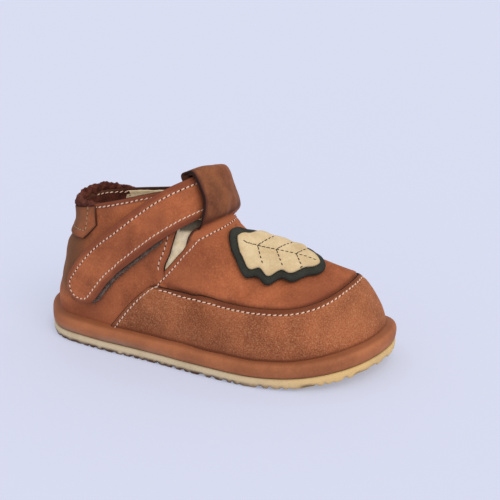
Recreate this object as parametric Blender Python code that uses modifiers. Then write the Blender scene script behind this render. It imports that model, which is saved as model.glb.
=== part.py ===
"""Child's barefoot shoe, right foot: T-bar upper on a leather-wrapped platform, with a hook-and-loop strap.

Metres, +Z up, toe at +X, outer side of the foot at -Y. The driving sizes and the tables are in millimetres.
"""
import bmesh
import bpy
import numpy as np
from mathutils.bvhtree import BVHTree

MM = 0.001

# Driving sizes
SOLE_LENGTH = 154.2
TOE_TIP_Y = 8.8
TOE_SPRING = 6.0
SPRING_START = 24.0
SPINE_HALF = 52.0
SPINE_DRIFT = 4.0
SOLE_COLUMNS = 30
INSOLE_COLUMNS = 26
RUBBER = 4.5
SOLE_INSET = 0.3
TREAD_INSET = 1.2
PLATFORM_TOP = 10.6
GAP = 0.3
LEATHER = 2.0
UPPER_INSET = 3.8
UPPER_BASE = PLATFORM_TOP + GAP
INSOLE_THICK = 2.5
INSOLE_ROOM = 0.6
INSOLE_INSET = UPPER_INSET + LEATHER + INSOLE_ROOM
SEAM_FOOT_X = -34.0
SEAM_TOP_X = -12.5
WALL_BULGE = 1.3
LEAN_POWER = 1.6
QUARTER_BULGE = 1.9
DOME = 1.7
NECK_DOME = {-1: 2.9, 1: 2.1}
NECK_BLEND_X = 16.0
NECK_BLEND = 12.0
TOE_BLEND_X = 22.0
TOE_BLEND = 22.0
RAY_SPACING = 0.7
NECK_SHARE = 0.2
CREST_NECK = 3
QUARTER_SPLIT = 0.45
QUARTER_FRONT_BOW = 3.2
NECK_HALF = 12.0
NECK_CURVE = 2.5
STRAP_WIDTH = 15.5
STRAP_THICK = 2.2
STRAP_END = 8.0
STRAP_BLUNT = 0.12
PAD_THICK = 1.8
PAD_START = 8.0
PAD_END = 46.0
LOOP_HALF = 12.5
LOOP_WALL = 1.6
LOOP_ROOM = 0.8
LOOP_ROOM_EDGE = 1.6
LOOP_ROUND = 0.4
LOOP_CLEAR = 2.0
TAB_THICK = 1.4
TAB_TOP = 1.96
TAB_LOW = 1.42
TAB_REACH = 0.34
TAB_CORNER = 0.28
TAB_RISE = 0.28
TAB_STAND_OFF = 0.35
ROLL_RADIUS = 2.3
ROLL_REACH = 0.42
ROLL_INSET = 1.0
ROLL_STAND_OFF = 0.4
LEAF_X = 31.0
LEAF_Y = -3.5
LEAF_TURN = 10.0
LEAF_LENGTH = 35.0
LEAF_HALF = 9.6
LEAF_LOBES = 4
LEAF_WAVE = 0.14
LEAF_FULLNESS = 0.7
LEAF_BORDER = 2.8
BORDER_FULLNESS = 0.3
LEAF_TIP = 0.5
LEAF_CLEAR = 0.9
LEAF_BASE_THICK = 1.8
LEAF_TOP_THICK = 1.2
DRAPE_STEP = 1.5
ANKLE = np.array([-30.0, 0.0, 40.0])
MERGE = 0.00005

# Plan of the sole: share of the length from the heel, then the reach to the outer and to the inner side
OUTLINE = [
    (0.025, 12.0, 12.0),
    (0.085, 20.3, 20.3),
    (0.190, 24.3, 24.6),
    (0.400, 27.8, 26.3),
    (0.570, 31.4, 30.0),
    (0.710, 32.9, 32.7),
    (0.830, 29.2, 32.5),
    (0.925, 19.5, 28.6),
    (0.980, 6.5, 21.0),
]

# Side wall of the upper: place along the shoe, rise above the platform, lean towards the middle at the top
WALL = [
    (-74.0, 24.0, 5.2),
    (-44.0, 24.5, 3.6),
    (-13.0, 24.5, 2.2),
    (8.0, 19.5, 2.2),
    (36.0, 17.8, 2.8),
    (54.0, 18.5, 4.6),
    (66.0, 20.0, 7.4),
    (74.0, 20.6, 9.6),
]

# Collar edge: place along the shoe, reach to each side, height on the outer side and on the inner side
COLLAR = [
    (-62.4, 0.0, 57.5, 57.5),
    (-58.5, 10.8, 58.5, 57.5),
    (-49.0, 16.2, 61.0, 57.8),
    (-35.0, 17.8, 65.0, 59.3),
    (-21.0, 16.6, 69.0, 62.0),
    (-10.4, 13.8, 71.5, 66.0),
]

# Crest of the vamp, carried on behind the neck to shape it: along, across, height
CREST = [
    (-13.0, 0.0, 78.0),
    (-6.0, 0.0, 70.5),
    (0.0, 0.0, 64.8),
    (5.5, 0.0, 59.5),
    (9.5, 0.4, 55.6),
    (14.0, 0.8, 52.0),
    (22.0, 1.4, 48.8),
    (31.0, 2.0, 46.4),
    (40.0, 3.0, 44.3),
    (48.0, 3.5, 43.0),
]

# Middle line of the strap from its free end on the outer side to its sewn end on the inner side:
# along, across, height, then the way it faces (turn in plan from the toe, tilt upwards) in degrees
STRAP = [
    (-57.6, -18.6, 18.0, -108.0, 10.0),
    (-50.5, -22.2, 28.2, -98.0, 12.0),
    (-41.0, -24.0, 39.5, -92.0, 16.0),
    (-29.0, -23.8, 50.5, -88.0, 20.0),
    (-18.0, -22.0, 60.0, -80.0, 22.0),
    (-9.0, -18.7, 66.5, -62.0, 22.0),
    (-2.0, -13.0, 70.0, -40.0, 20.0),
    (2.0, -4.0, 71.0, -12.0, 18.0),
    (3.0, 5.0, 70.4, 10.0, 18.0),
    (0.5, 12.5, 68.2, 38.0, 20.0),
    (-6.5, 17.3, 63.8, 62.0, 22.0),
    (-15.0, 20.0, 57.3, 80.0, 20.0),
    (-25.0, 21.5, 49.0, 88.0, 18.0),
]


def smooth(knots, values, at):
    """Cubic curve through the rows of a table, read at any place."""
    knots = np.asarray(knots, float)
    values = np.asarray(values, float)
    at = np.clip(np.asarray(at, float), knots[0], knots[-1])
    slopes = np.gradient(values, knots, axis=0)
    row = np.clip(np.searchsorted(knots, at, side="right") - 1, 0, len(knots) - 2)
    step = knots[row + 1] - knots[row]
    share = (at - knots[row]) / step
    if values.ndim > 1:
        step = step[..., None]
        share = share[..., None]
    ease = 3 * share**2 - 2 * share**3
    leave = (share**3 - 2 * share**2 + share) * step * slopes[row]
    arrive = (share**3 - share**2) * step * slopes[row + 1]
    return (1 - ease) * values[row] + ease * values[row + 1] + leave + arrive


def column(table, number):
    return [row[number] for row in table]


def unit(vectors):
    return vectors / np.linalg.norm(vectors, axis=-1, keepdims=True)


def trace_outline():
    """Closed plan curve from the heel along the outer side to the toe and back, cut into two sides."""
    outer = [(share, -reach) for share, reach, _ in OUTLINE]
    inner = [(share, reach) for share, _, reach in OUTLINE]
    shares = [(0.0, 0.0)] + outer + [(1.0, TOE_TIP_Y)] + inner[::-1]
    knots = np.array([((share - 0.5) * SOLE_LENGTH, across) for share, across in shares])
    looped = np.concatenate([knots[-3:], knots, knots[:4]])
    chords = np.sqrt(np.linalg.norm(np.diff(looped, axis=0), axis=1))
    places = np.concatenate([[0.0], np.cumsum(chords)])
    fine = np.linspace(places[3], places[3 + len(knots)], 1201)
    curve = smooth(places, looped, fine)
    tangent = unit(np.gradient(curve, axis=0))
    tangent[0] = tangent[-1] = unit(tangent[0] + tangent[-1])
    normal = np.stack([tangent[:, 1], -tangent[:, 0]], axis=1)
    normal *= np.sign((normal * (curve - curve.mean(axis=0))).sum())
    toe = np.argmax(curve[:, 0])
    table = np.concatenate([curve, normal], axis=1)
    return {-1: table[: toe + 1], 1: table[toe:][::-1]}


SIDES = trace_outline()
LENGTHS = {}
for side_key, side_rows in SIDES.items():
    run = np.concatenate([[0.0], np.cumsum(np.linalg.norm(np.diff(side_rows[:, :2], axis=0), axis=1))])
    LENGTHS[side_key] = run / run[-1]


def edge(side, place, inset):
    """Plan points at a share of the way from heel to toe along one side, moved in by the inset; and normals."""
    found = [np.interp(place, LENGTHS[side], SIDES[side][:, n]) for n in range(4)]
    normal = unit(np.stack(found[2:], axis=-1))
    return np.stack(found[:2], axis=-1) - normal * np.asarray(inset)[..., None], normal


def place_at(side, along):
    """Share of the way round one side at which the outline passes a place along the shoe."""
    return float(np.interp(along, SIDES[side][:, 0], LENGTHS[side]))


def lift(along):
    reach = SOLE_LENGTH / 2 - SPRING_START
    return TOE_SPRING * np.clip((np.asarray(along) - SPRING_START) / reach, 0.0, 1.0) ** 2


def strap_frame():
    """Fine middle line of the strap with its tangent, facing and width directions, and run from the front."""
    knots = np.array([row[:3] for row in STRAP])
    places = np.concatenate([[0.0], np.cumsum(np.linalg.norm(np.diff(knots, axis=0), axis=1))])
    fine = np.linspace(0.0, places[-1], 400)
    line = smooth(places, knots, fine)
    turn = np.radians(smooth(places, column(STRAP, 3), fine))
    tilt = np.radians(smooth(places, column(STRAP, 4), fine))
    facing = np.stack([np.cos(tilt) * np.cos(turn), np.cos(tilt) * np.sin(turn), np.sin(tilt)], axis=1)
    tangent = unit(np.gradient(line, fine, axis=0))
    down = unit(np.cross(tangent, facing))
    down *= -np.sign(down[:, 2:3])
    facing = np.cross(tangent, down)
    facing *= np.sign((facing * (line - ANKLE)).sum())
    run = np.concatenate([[0.0], np.cumsum(np.linalg.norm(np.diff(line, axis=0), axis=1))])
    middle = np.interp(0.0, line[:, 1], run)
    return run - middle, line, facing, down


RUN, LINE, FACING, DOWN = strap_frame()


def on_strap(run):
    """Middle point, facing and downward directions of the strap at a run from the front of the ankle."""
    run = np.asarray(run, float)
    parts = []
    for rows in (LINE, FACING, DOWN):
        parts.append(np.stack([np.interp(run, RUN, rows[:, n]) for n in range(3)], axis=-1))
    return parts[0], unit(parts[1]), unit(parts[2])


LOOP_TALL = STRAP_WIDTH / 2 + LOOP_ROOM_EDGE + LOOP_WALL
LOOP_DEEP = STRAP_THICK / 2 + LOOP_ROOM + LOOP_WALL


def wall(side, place, share):
    """Side wall of the upper, from the platform (0) to its shoulder (1)."""
    plan, normal = edge(side, place, UPPER_INSET)
    rise = smooth(column(WALL, 0), column(WALL, 1), plan[..., 0])
    lean = smooth(column(WALL, 0), column(WALL, 2), plan[..., 0])
    out = WALL_BULGE * np.sin(np.pi * share) - lean * share**LEAN_POWER
    height = UPPER_BASE + lift(plan[..., 0]) + rise * share
    return np.concatenate([plan + normal * out[..., None], height[..., None]], axis=-1)


def seam_place(side, share):
    """Where the slanting seam between quarter and front runs round one side, platform to shoulder."""
    foot = place_at(side, SEAM_FOOT_X)
    top = place_at(side, SEAM_TOP_X)
    return foot + (top - foot) * np.clip(share, 0.0, 1.0)


def quarter(side, around, up):
    """Quarter: around runs from the heel (0) to the front edge (1); up is 0 to 1 wall, 1 to 2 collar."""
    low = np.clip(up, 0.0, 1.0)
    high = np.clip(up - 1.0, 0.0, 1.0)
    at_seam = around * seam_place(side, low)
    lapped = wall(side, at_seam, low)
    foot = wall(side, at_seam, np.zeros_like(low))
    rows = np.array([(x, side * reach, outer if side < 0 else inner) for x, reach, outer, inner in COLLAR])
    rim = smooth(np.linspace(0.0, 1.0, len(rows)), rows, around)
    share = np.where(up < 1.0, low * QUARTER_SPLIT, QUARTER_SPLIT + (1.0 - QUARTER_SPLIT) * high)[..., None]
    normal = edge(side, at_seam, np.zeros_like(low))[1]
    bow = np.concatenate([normal * QUARTER_BULGE, np.zeros_like(normal[..., :1])], axis=-1)
    bow[..., 0] += QUARTER_FRONT_BOW * around**6
    free = foot + (rim - foot) * share + bow * 4.0 * share * (1.0 - share)
    shoulder = wall(side, at_seam, np.ones_like(low))
    above = shoulder + (rim - shoulder) * high[..., None] + bow * 4.0 * (high * (1.0 - high))[..., None]
    seamed = np.where((up < 1.0)[..., None], lapped, above)
    return free + (seamed - free) * (around**4)[..., None]


def crest(side, around):
    """Plan of the line where the rays of the vamp end: the top of the neck, then the crest towards the toe."""
    start, *rest = CREST[CREST_NECK:]
    reach = NECK_HALF * np.clip(1.0 - around / NECK_SHARE, 0.0, 1.0)
    neck = np.stack([start[0] - NECK_CURVE * (reach / NECK_HALF) ** 2, side * reach], axis=-1)
    rows = np.array([start, *rest])
    places = np.concatenate([[0.0], np.cumsum(np.linalg.norm(np.diff(rows, axis=0), axis=1))])
    along = np.clip((around - NECK_SHARE) / (1.0 - NECK_SHARE), 0.0, 1.0) ** RAY_SPACING
    ridge = smooth(places / places[-1], rows[:, :2], along)
    return np.where((around < NECK_SHARE)[..., None], neck, ridge)


def vamp_height(side, plan):
    """Height of the front as an arch across the shoe, squarer at the neck than at the toe."""
    x = plan[..., 0]
    edge_line = wall(side, np.linspace(0.2, 0.98, 60), np.ones(60))
    reach = np.interp(x, edge_line[:, 0], edge_line[:, 1])
    low = np.interp(x, edge_line[:, 0], edge_line[:, 2])
    table = np.array(CREST)
    middle = smooth(table[:, 0], table[:, 1], x)
    tall = smooth(table[:, 0], table[:, 2], x)
    power = DOME + (NECK_DOME[side] - DOME) * np.clip((NECK_BLEND_X - x) / NECK_BLEND, 0.0, 1.0)
    across = np.clip((plan[..., 1] - middle) / (reach - middle), 0.0, 1.0)
    return low + (tall - low) * (1.0 - across**power)


def vamp(side, around, up):
    """Front: around runs from the seam with the quarter (0) to the toe (1); up is 0 to 1 wall, 1 to 2 plug."""
    low = np.clip(up, 0.0, 1.0)
    high = np.clip(up - 1.0, 0.0, 1.0)
    seam = seam_place(side, low)
    foot = wall(side, seam + (1.0 - seam) * around, low)
    top = crest(side, around)
    plan = foot[..., :2] + (top - foot[..., :2]) * high[..., None]
    ray = foot[..., 2] + (vamp_height(side, top) - foot[..., 2]) * (1.0 - (1.0 - high) ** DOME)
    arch = vamp_height(side, plan) + (foot[..., 2] - vamp_height(side, foot[..., :2])) * (1.0 - high) ** 4
    to_toe = np.clip((plan[..., 0] - TOE_BLEND_X) / TOE_BLEND, 0.0, 1.0)
    to_toe = to_toe**2 * (3.0 - 2.0 * to_toe)
    height = np.where(high > 0.0, arch + (ray - arch) * to_toe, foot[..., 2])
    return np.concatenate([plan, height[..., None]], axis=-1)


def patch(function, around, up):
    """One panel across both sides of the shoe as rows of points."""
    grid_up = up[:, None] + 0.0 * around[None, :]
    grid_around = around[None, :] + 0.0 * up[:, None]
    outer = function(-1, grid_around, grid_up)
    inner = function(1, grid_around, grid_up)
    if function is quarter:
        return np.concatenate([outer[:, ::-1], inner[:, 1:]], axis=1)
    return np.concatenate([outer, inner[:, -2::-1]], axis=1)


PARTS = bpy.data.collections.new("barefoot_shoe")


def material(name, colour, roughness):
    made = bpy.data.materials.new(name)
    made.use_nodes = True
    shader = made.node_tree.nodes["Principled BSDF"]
    shader.inputs["Base Color"].default_value = (*colour, 1.0)
    shader.inputs["Roughness"].default_value = roughness
    return made


def grid_faces(rows, columns, closed, start=0):
    faces = []
    across = columns if closed else columns - 1
    for row in range(rows - 1):
        for col in range(across):
            nxt = (col + 1) % columns
            low = start + row * columns
            high = low + columns
            faces.append((low + col, low + nxt, high + nxt, high + col))
    return faces


def make(name, points, faces, cover):
    """Mesh object in the collection of parts from points in millimetres."""
    mesh = bpy.data.meshes.new(name)
    mesh.from_pydata([tuple(point) for point in np.asarray(points) * MM], [], faces)
    shape = bmesh.new()
    shape.from_mesh(mesh)
    bmesh.ops.remove_doubles(shape, verts=shape.verts, dist=MERGE)
    bmesh.ops.dissolve_degenerate(shape, edges=shape.edges, dist=MERGE)
    bmesh.ops.recalc_face_normals(shape, faces=shape.faces)
    shape.to_mesh(mesh)
    shape.free()
    made = bpy.data.objects.new(name, mesh)
    mesh.materials.append(cover)
    PARTS.objects.link(made)
    return made


def face_outwards(made, inside):
    """Turn an open sheet so that its faces look away from a point inside the shoe."""
    shape = bmesh.new()
    shape.from_mesh(made.data)
    total = 0.0
    for face in shape.faces:
        total += face.calc_area() * face.normal.dot(face.calc_center_median() - inside)
    if total < 0.0:
        bmesh.ops.reverse_faces(shape, faces=shape.faces)
    shape.to_mesh(made.data)
    shape.free()


def thicken(made, thickness, outwards):
    sheet = made.modifiers.new("leather", "SOLIDIFY")
    sheet.thickness = thickness * MM
    sheet.offset = 1.0 if outwards else -1.0
    sheet.use_even_offset = False


def slab(name, profile, columns, cover):
    """Flat piece with the plan of the sole, from rows of inset, height and share of the way to the middle."""
    places = 0.5 - 0.5 * np.cos(np.linspace(0.0, np.pi, columns))
    places = 0.55 * places + 0.45 * np.linspace(0.0, 1.0, columns)
    spine = np.stack([SPINE_HALF * (2.0 * places - 1.0), SPINE_DRIFT * places**2], axis=1)
    rings = []
    for inset, height, share in profile:
        sides = []
        for side in (-1, 1):
            plan, _ = edge(side, places, np.full(columns, float(inset)))
            plan = plan + (spine - plan) * share
            tall = height + lift(plan[:, 0])
            sides.append(np.concatenate([plan, tall[:, None]], axis=1))
        rings.append(np.concatenate([sides[0], sides[1][-2:0:-1]]))
    rings = np.array(rings)
    return make(name, rings.reshape(-1, 3), grid_faces(len(rings), rings.shape[1], True), cover)


def lay_clear(points, facing, clear):
    """Move points out along their facing until they stand clear of the upper; past its edges they stay."""
    out = np.array(points)
    for index in range(len(out)):
        for _ in range(6):
            near, normal, _, _ = TREE.find_nearest(out[index])
            away = out[index] - np.array(near)
            square = np.dot(away, np.array(normal))
            beside = np.linalg.norm(away - square * np.array(normal))
            if beside > 1.0 or square >= clear[index] - 0.02:
                break
            out[index] += facing[index] * (clear[index] - square)
    return out


for old in list(bpy.data.objects):
    bpy.data.objects.remove(old, do_unlink=True)
bpy.context.scene.collection.children.link(PARTS)

rubber = material("cream_rubber", (0.62, 0.47, 0.25), 0.75)
tan = material("tan_nubuck", (0.34, 0.13, 0.055), 0.9)
brown = material("brown_leather", (0.21, 0.085, 0.035), 0.8)
band = material("tan_leather_band", (0.30, 0.12, 0.05), 0.75)
dark = material("dark_lining", (0.05, 0.015, 0.008), 0.95)
cream = material("cream_leather", (0.62, 0.52, 0.33), 0.8)
black = material("black_leather", (0.03, 0.03, 0.027), 0.7)
fuzz = material("grey_hook_and_loop", (0.10, 0.065, 0.05), 1.0)

# Outsole, platform and insole
slab("outsole", [
    (SOLE_INSET, RUBBER, 1.0), (SOLE_INSET, RUBBER, 0.5), (SOLE_INSET, RUBBER, 0.0),
    (SOLE_INSET, RUBBER / 2, 0.0),
    (TREAD_INSET, 0.0, 0.0), (TREAD_INSET, 0.0, 0.5), (TREAD_INSET, 0.0, 1.0),
], SOLE_COLUMNS, rubber)
low = RUBBER + GAP
bead = [(3.2, 0.0), (1.6, 0.2), (0.5, 1.2), (0.0, 2.8)]
slab("platform", [
    (bead[0][0], PLATFORM_TOP, 1.0), (bead[0][0], PLATFORM_TOP, 0.5),
    *((inset, PLATFORM_TOP - drop, 0.0) for inset, drop in bead),
    (SOLE_INSET, low, 0.0), (SOLE_INSET, low, 0.5), (SOLE_INSET, low, 1.0),
], SOLE_COLUMNS, band)
slab("insole", [
    (INSOLE_INSET, UPPER_BASE + INSOLE_THICK, 1.0), (INSOLE_INSET, UPPER_BASE + INSOLE_THICK, 0.4),
    (INSOLE_INSET, UPPER_BASE + INSOLE_THICK, 0.0), (INSOLE_INSET, UPPER_BASE, 0.0),
    (INSOLE_INSET, UPPER_BASE, 0.4), (INSOLE_INSET, UPPER_BASE, 1.0),
], INSOLE_COLUMNS, cream)

# Upper: quarters and front, joined along the slanting seams below the slits
rows_up = np.concatenate([np.linspace(0.0, 1.0, 6), 1.0 + np.linspace(0.0, 1.0, 8)[1:]])
quarters = patch(quarter, np.linspace(0.0, 1.0, 17), rows_up)
front = patch(vamp, np.linspace(0.0, 1.0, 21), rows_up)
shell_points = np.concatenate([quarters.reshape(-1, 3), front.reshape(-1, 3)])
shell_faces = grid_faces(len(rows_up), quarters.shape[1], False)
shell_faces += grid_faces(len(rows_up), front.shape[1], False, quarters.shape[0] * quarters.shape[1])
upper = make("upper", shell_points, shell_faces, tan)
face_outwards(upper, upper.location)
thicken(upper, LEATHER, False)
skin = [tuple(vertex.co / MM) for vertex in upper.data.vertices]
TREE = BVHTree.FromPolygons(skin, [tuple(face.vertices) for face in upper.data.polygons])

# Strap with a round free end, and the fastening pad under it
round_end = np.linspace(RUN[0], RUN[0] + STRAP_END, 7)[:-1]
runs = np.concatenate([round_end, np.linspace(RUN[0] + STRAP_END, RUN[-1], 34)])
half = np.full(len(runs), STRAP_WIDTH / 2)
end = np.clip((runs - RUN[0]) / STRAP_END, 0.0, 1.0)
half *= np.sqrt(np.clip(1.0 - (1.0 - end) ** 2, STRAP_BLUNT, 1.0))
middle, facing, down = on_strap(runs)
across = np.linspace(-1.0, 1.0, 5)
ribbon = middle[:, None] + down[:, None] * (half[:, None] * across)[..., None]
faces_out = np.repeat(facing[:, None], 5, axis=1)
under = ribbon - faces_out * STRAP_THICK / 2
padded = np.clip((PAD_END - (runs - RUN[0])) / PAD_START, 0.0, 1.0)
clear = np.repeat(2 * GAP + PAD_THICK * padded, 5)
on_quarter = np.repeat(np.abs(runs) > LOOP_HALF + LOOP_CLEAR, 5)
laid = under.reshape(-1, 3)
laid[on_quarter] = lay_clear(laid[on_quarter], faces_out.reshape(-1, 3)[on_quarter], clear[on_quarter])
under = laid.reshape(under.shape)
strap = make("strap", under.reshape(-1, 3), grid_faces(len(runs), 5, False), tan)
face_outwards(strap, upper.location)
thicken(strap, STRAP_THICK, True)

pad_rows = (runs - RUN[0] >= PAD_START) & (runs - RUN[0] <= PAD_END - PAD_START)
pad_sheet = under[pad_rows, :] - faces_out[pad_rows] * (GAP + PAD_THICK)
pad = make("fastening_pad", pad_sheet.reshape(-1, 3), grid_faces(pad_sheet.shape[0], 5, False), fuzz)
face_outwards(pad, upper.location)
thicken(pad, PAD_THICK, True)

# Loop: a flat band round the strap in front of the ankle
turns = np.linspace(0.0, 2.0 * np.pi, 24, endpoint=False)
loop_runs = np.linspace(-LOOP_HALF, LOOP_HALF, 13)
middle, facing, down = on_strap(loop_runs)
tall = LOOP_TALL * np.sign(np.cos(turns)) * np.abs(np.cos(turns)) ** LOOP_ROUND
deep = LOOP_DEEP * np.sign(np.sin(turns)) * np.abs(np.sin(turns)) ** LOOP_ROUND
belt = middle[:, None] + down[:, None] * tall[None, :, None] + facing[:, None] * deep[None, :, None]
loop = make("strap_loop", belt.reshape(-1, 3), grid_faces(13, 24, True), brown)
thicken(loop, LOOP_WALL, False)

# Heel tab around the back of the collar, its lower corners cut off
spread = np.linspace(-1.0, 1.0, 21)
drop = np.linspace(0.0, 1.0, 6)
lower = TAB_LOW + TAB_RISE * np.clip((np.abs(spread) - 1.0 + TAB_CORNER) / TAB_CORNER, 0.0, 1.0)
sheet = []
for share in drop:
    up = TAB_TOP + (lower - TAB_TOP) * share
    outer = quarter(-1, np.abs(spread) * TAB_REACH, up)
    inner = quarter(1, np.abs(spread) * TAB_REACH, up)
    sheet.append(np.where((spread < 0)[:, None], outer, inner))
tab = make("heel_tab", np.array(sheet).reshape(-1, 3), grid_faces(6, 21, False), tan)
face_outwards(tab, upper.location)
grow = tab.modifiers.new("stand_off", "DISPLACE")
grow.strength = TAB_STAND_OFF * MM
grow.mid_level = 0.0
thicken(tab, TAB_THICK, True)

# Soft rim on the back of the collar
spread = np.linspace(-1.0, 1.0, 25)
rim_outer = quarter(-1, np.abs(spread) * ROLL_REACH, np.full(25, 2.0))
rim_inner = quarter(1, np.abs(spread) * ROLL_REACH, np.full(25, 2.0))
rim = np.where((spread < 0)[:, None], rim_outer, rim_inner)
curve = bpy.data.curves.new("collar_roll", "CURVE")
curve.dimensions = "3D"
curve.bevel_depth = ROLL_RADIUS * MM
curve.bevel_resolution = 2
curve.use_fill_caps = True
spline = curve.splines.new("POLY")
spline.points.add(len(rim) - 1)
for point, place in zip(spline.points, rim):
    inwards = unit(ANKLE[:2] - place[:2]) * ROLL_INSET
    above = place[2] + ROLL_RADIUS + ROLL_STAND_OFF
    point.co = ((place[0] + inwards[0]) * MM, (place[1] + inwards[1]) * MM, above * MM, 1.0)
roll = bpy.data.objects.new("collar_roll", curve)
curve.materials.append(dark)
PARTS.objects.link(roll)

# Leaf on the plug: a black layer and a smaller cream layer, both following the vamp
def height_over(x, y):
    """Height of the vamp, found by looking straight down."""
    return TREE.ray_cast((x, y, 120.0), (0.0, 0.0, -1.0))[0][2]


def drape(plan, clear):
    """Points over the vamp at a clearance from it, measured square to its slope."""
    found = []
    for x, y in plan:
        slope_x = (height_over(x + DRAPE_STEP, y) - height_over(x - DRAPE_STEP, y)) / (2.0 * DRAPE_STEP)
        slope_y = (height_over(x, y + DRAPE_STEP) - height_over(x, y - DRAPE_STEP)) / (2.0 * DRAPE_STEP)
        normal = unit(np.array([-slope_x, -slope_y, 1.0]))
        found.append(np.array([x, y, height_over(x, y)]) + normal * clear)
    return np.array(found)


def leaf(name, border, clear, thickness, cover):
    """Lobed leaf draped over the vamp, with a border all round it."""
    along = 0.5 - 0.5 * np.cos(np.linspace(0.0, np.pi, 25))
    lobes = 1.0 + LEAF_WAVE * np.cos(2.0 * np.pi * LEAF_LOBES * along)
    half = LEAF_HALF * np.sin(np.pi * along) ** LEAF_FULLNESS * lobes
    half = np.maximum(half + border * np.sin(np.pi * along) ** BORDER_FULLNESS, LEAF_TIP)
    forward = (along - 0.5) * (LEAF_LENGTH + 2.0 * border)
    across = half[:, None] * np.linspace(-1.0, 1.0, 5)
    turn = np.radians(LEAF_TURN)
    turned_x = LEAF_X + forward[:, None] * np.cos(turn) - across * np.sin(turn)
    turned_y = LEAF_Y + forward[:, None] * np.sin(turn) + across * np.cos(turn)
    plan = np.stack([turned_x, turned_y], axis=-1)
    made = make(name, drape(plan.reshape(-1, 2), clear), grid_faces(25, 5, False), cover)
    face_outwards(made, upper.location)
    thicken(made, thickness, True)


leaf("leaf_base", LEAF_BORDER, LEAF_CLEAR, LEAF_BASE_THICK, black)
leaf("leaf_top", 0.0, 2 * LEAF_CLEAR + LEAF_BASE_THICK, LEAF_TOP_THICK, cream)
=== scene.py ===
# %% [markdown]
# # A child's barefoot shoe, right foot
# The real shoe is a soft leather upper, sewn flat to a thin platform that is wrapped in the same leather,
# with a cream rubber sole glued below. A strap runs through a loop in front of the ankle and closes on the
# outer side with hook-and-loop tape. The frame brings the plain solids; this lesson dresses each of them in
# leather, thread and rubber.

import bmesh
import bpy
import numpy as np
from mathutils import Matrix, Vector, noise
from mathutils.bvhtree import BVHTree


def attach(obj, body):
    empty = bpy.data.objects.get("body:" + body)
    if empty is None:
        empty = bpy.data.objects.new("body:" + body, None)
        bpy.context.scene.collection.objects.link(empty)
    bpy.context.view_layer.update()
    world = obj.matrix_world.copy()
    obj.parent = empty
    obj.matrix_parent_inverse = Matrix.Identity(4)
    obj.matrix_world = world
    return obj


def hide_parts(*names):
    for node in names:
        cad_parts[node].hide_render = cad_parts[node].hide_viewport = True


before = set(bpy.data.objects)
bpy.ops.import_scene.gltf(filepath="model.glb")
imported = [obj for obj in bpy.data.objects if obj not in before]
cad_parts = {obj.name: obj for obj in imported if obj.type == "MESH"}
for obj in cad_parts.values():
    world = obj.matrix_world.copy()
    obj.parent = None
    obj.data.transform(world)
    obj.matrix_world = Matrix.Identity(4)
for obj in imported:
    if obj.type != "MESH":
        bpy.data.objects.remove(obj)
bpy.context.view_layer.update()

MM = 0.001
print("frame nodes:", ", ".join(sorted(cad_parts)))

# %% [markdown]
# ## Sizes
# A shoemaker starts from a last and a pattern. Here the last is a handful of sizes in millimetres and five
# short tables: the plan of the sole, the side wall, the collar, the crest of the foot and the strap. The toe
# points to +X and the outer side of the foot to -Y.

# %% Sizes and tables of the last
SOLE_LENGTH, TOE_TIP_Y = 154.2, 8.8
TOE_SPRING, SPRING_START = 6.0, 24.0
UPPER_INSET, UPPER_BASE = 3.8, 10.9
LEATHER, LINING = 1.2, 0.6
OUTER, INNER = -1, 1
BOTH = (OUTER, INNER)
ANKLE = np.array([-30.0, 0.0, 40.0])

# share of the length from the heel, reach to the outer side, reach to the inner side
OUTLINE = [
    (0.030, 12.6, 12.8), (0.085, 22.2, 20.3), (0.190, 26.4, 24.6), (0.400, 29.4, 26.3), (0.570, 32.3, 30.0),
    (0.710, 33.1, 32.7), (0.830, 29.2, 32.5), (0.925, 19.5, 28.6), (0.980, 6.5, 21.0),
]
# along the shoe, rise of the side wall, lean of its top towards the middle
WALL = [
    (-74.0, 24.0, 5.2), (-44.0, 24.5, 3.6), (-13.0, 24.5, 2.2), (8.0, 19.5, 2.2), (36.0, 17.8, 2.8),
    (54.0, 18.5, 5.0), (66.0, 20.0, 8.6), (74.0, 20.6, 11.0),
]
# along the shoe, reach to each side, height on the outer side, height on the inner side
COLLAR = [
    (-62.4, 0.0, 57.5, 57.5), (-58.5, 10.8, 58.5, 57.5), (-49.0, 16.2, 61.4, 58.2), (-35.0, 17.8, 65.8, 60.1),
    (-21.0, 16.6, 70.2, 62.7), (-10.4, 13.8, 72.5, 66.0),
]
# along, across, height of the crest of the foot
CREST = [
    (-13.0, 0.0, 78.0), (-6.0, 0.0, 70.5), (0.0, 0.0, 64.8), (5.5, 0.0, 59.5), (9.5, 0.4, 55.6),
    (14.0, 0.8, 52.0), (22.0, 1.4, 48.8), (31.0, 2.0, 46.4), (40.0, 3.5, 44.3), (48.0, 5.3, 43.0),
]
# middle of the strap, free end to sewn end: along, across, height, turn from the toe, tilt upwards
STRAP = [
    (-55.6, -22.8, 18.0, -108.0, 10.0), (-49.5, -24.0, 28.2, -98.0, 12.0), (-41.0, -24.0, 39.5, -92.0, 16.0),
    (-29.0, -23.8, 50.5, -88.0, 20.0), (-18.0, -22.0, 60.0, -80.0, 22.0), (-9.0, -18.7, 66.5, -62.0, 22.0),
    (-2.0, -13.0, 70.0, -40.0, 20.0), (2.0, -4.0, 71.0, -12.0, 18.0), (3.0, 5.0, 70.4, 10.0, 18.0),
    (0.5, 12.5, 68.2, 38.0, 20.0), (-6.5, 17.3, 63.8, 62.0, 22.0), (-15.0, 20.0, 57.3, 80.0, 20.0),
    (-25.0, 21.5, 49.0, 88.0, 18.0),
]
print("tables:", len(OUTLINE), "rows of plan,", len(STRAP), "rows of strap")

# %% [markdown]
# ## Curves through the tables
# A smooth curve through a few rows can be drawn with Blender's own splines, but a leather panel needs the
# curve's value at thousands of places at once. A cubic through the rows, worked out for a whole array, does
# that in a few lines.

# %% Curves


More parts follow.
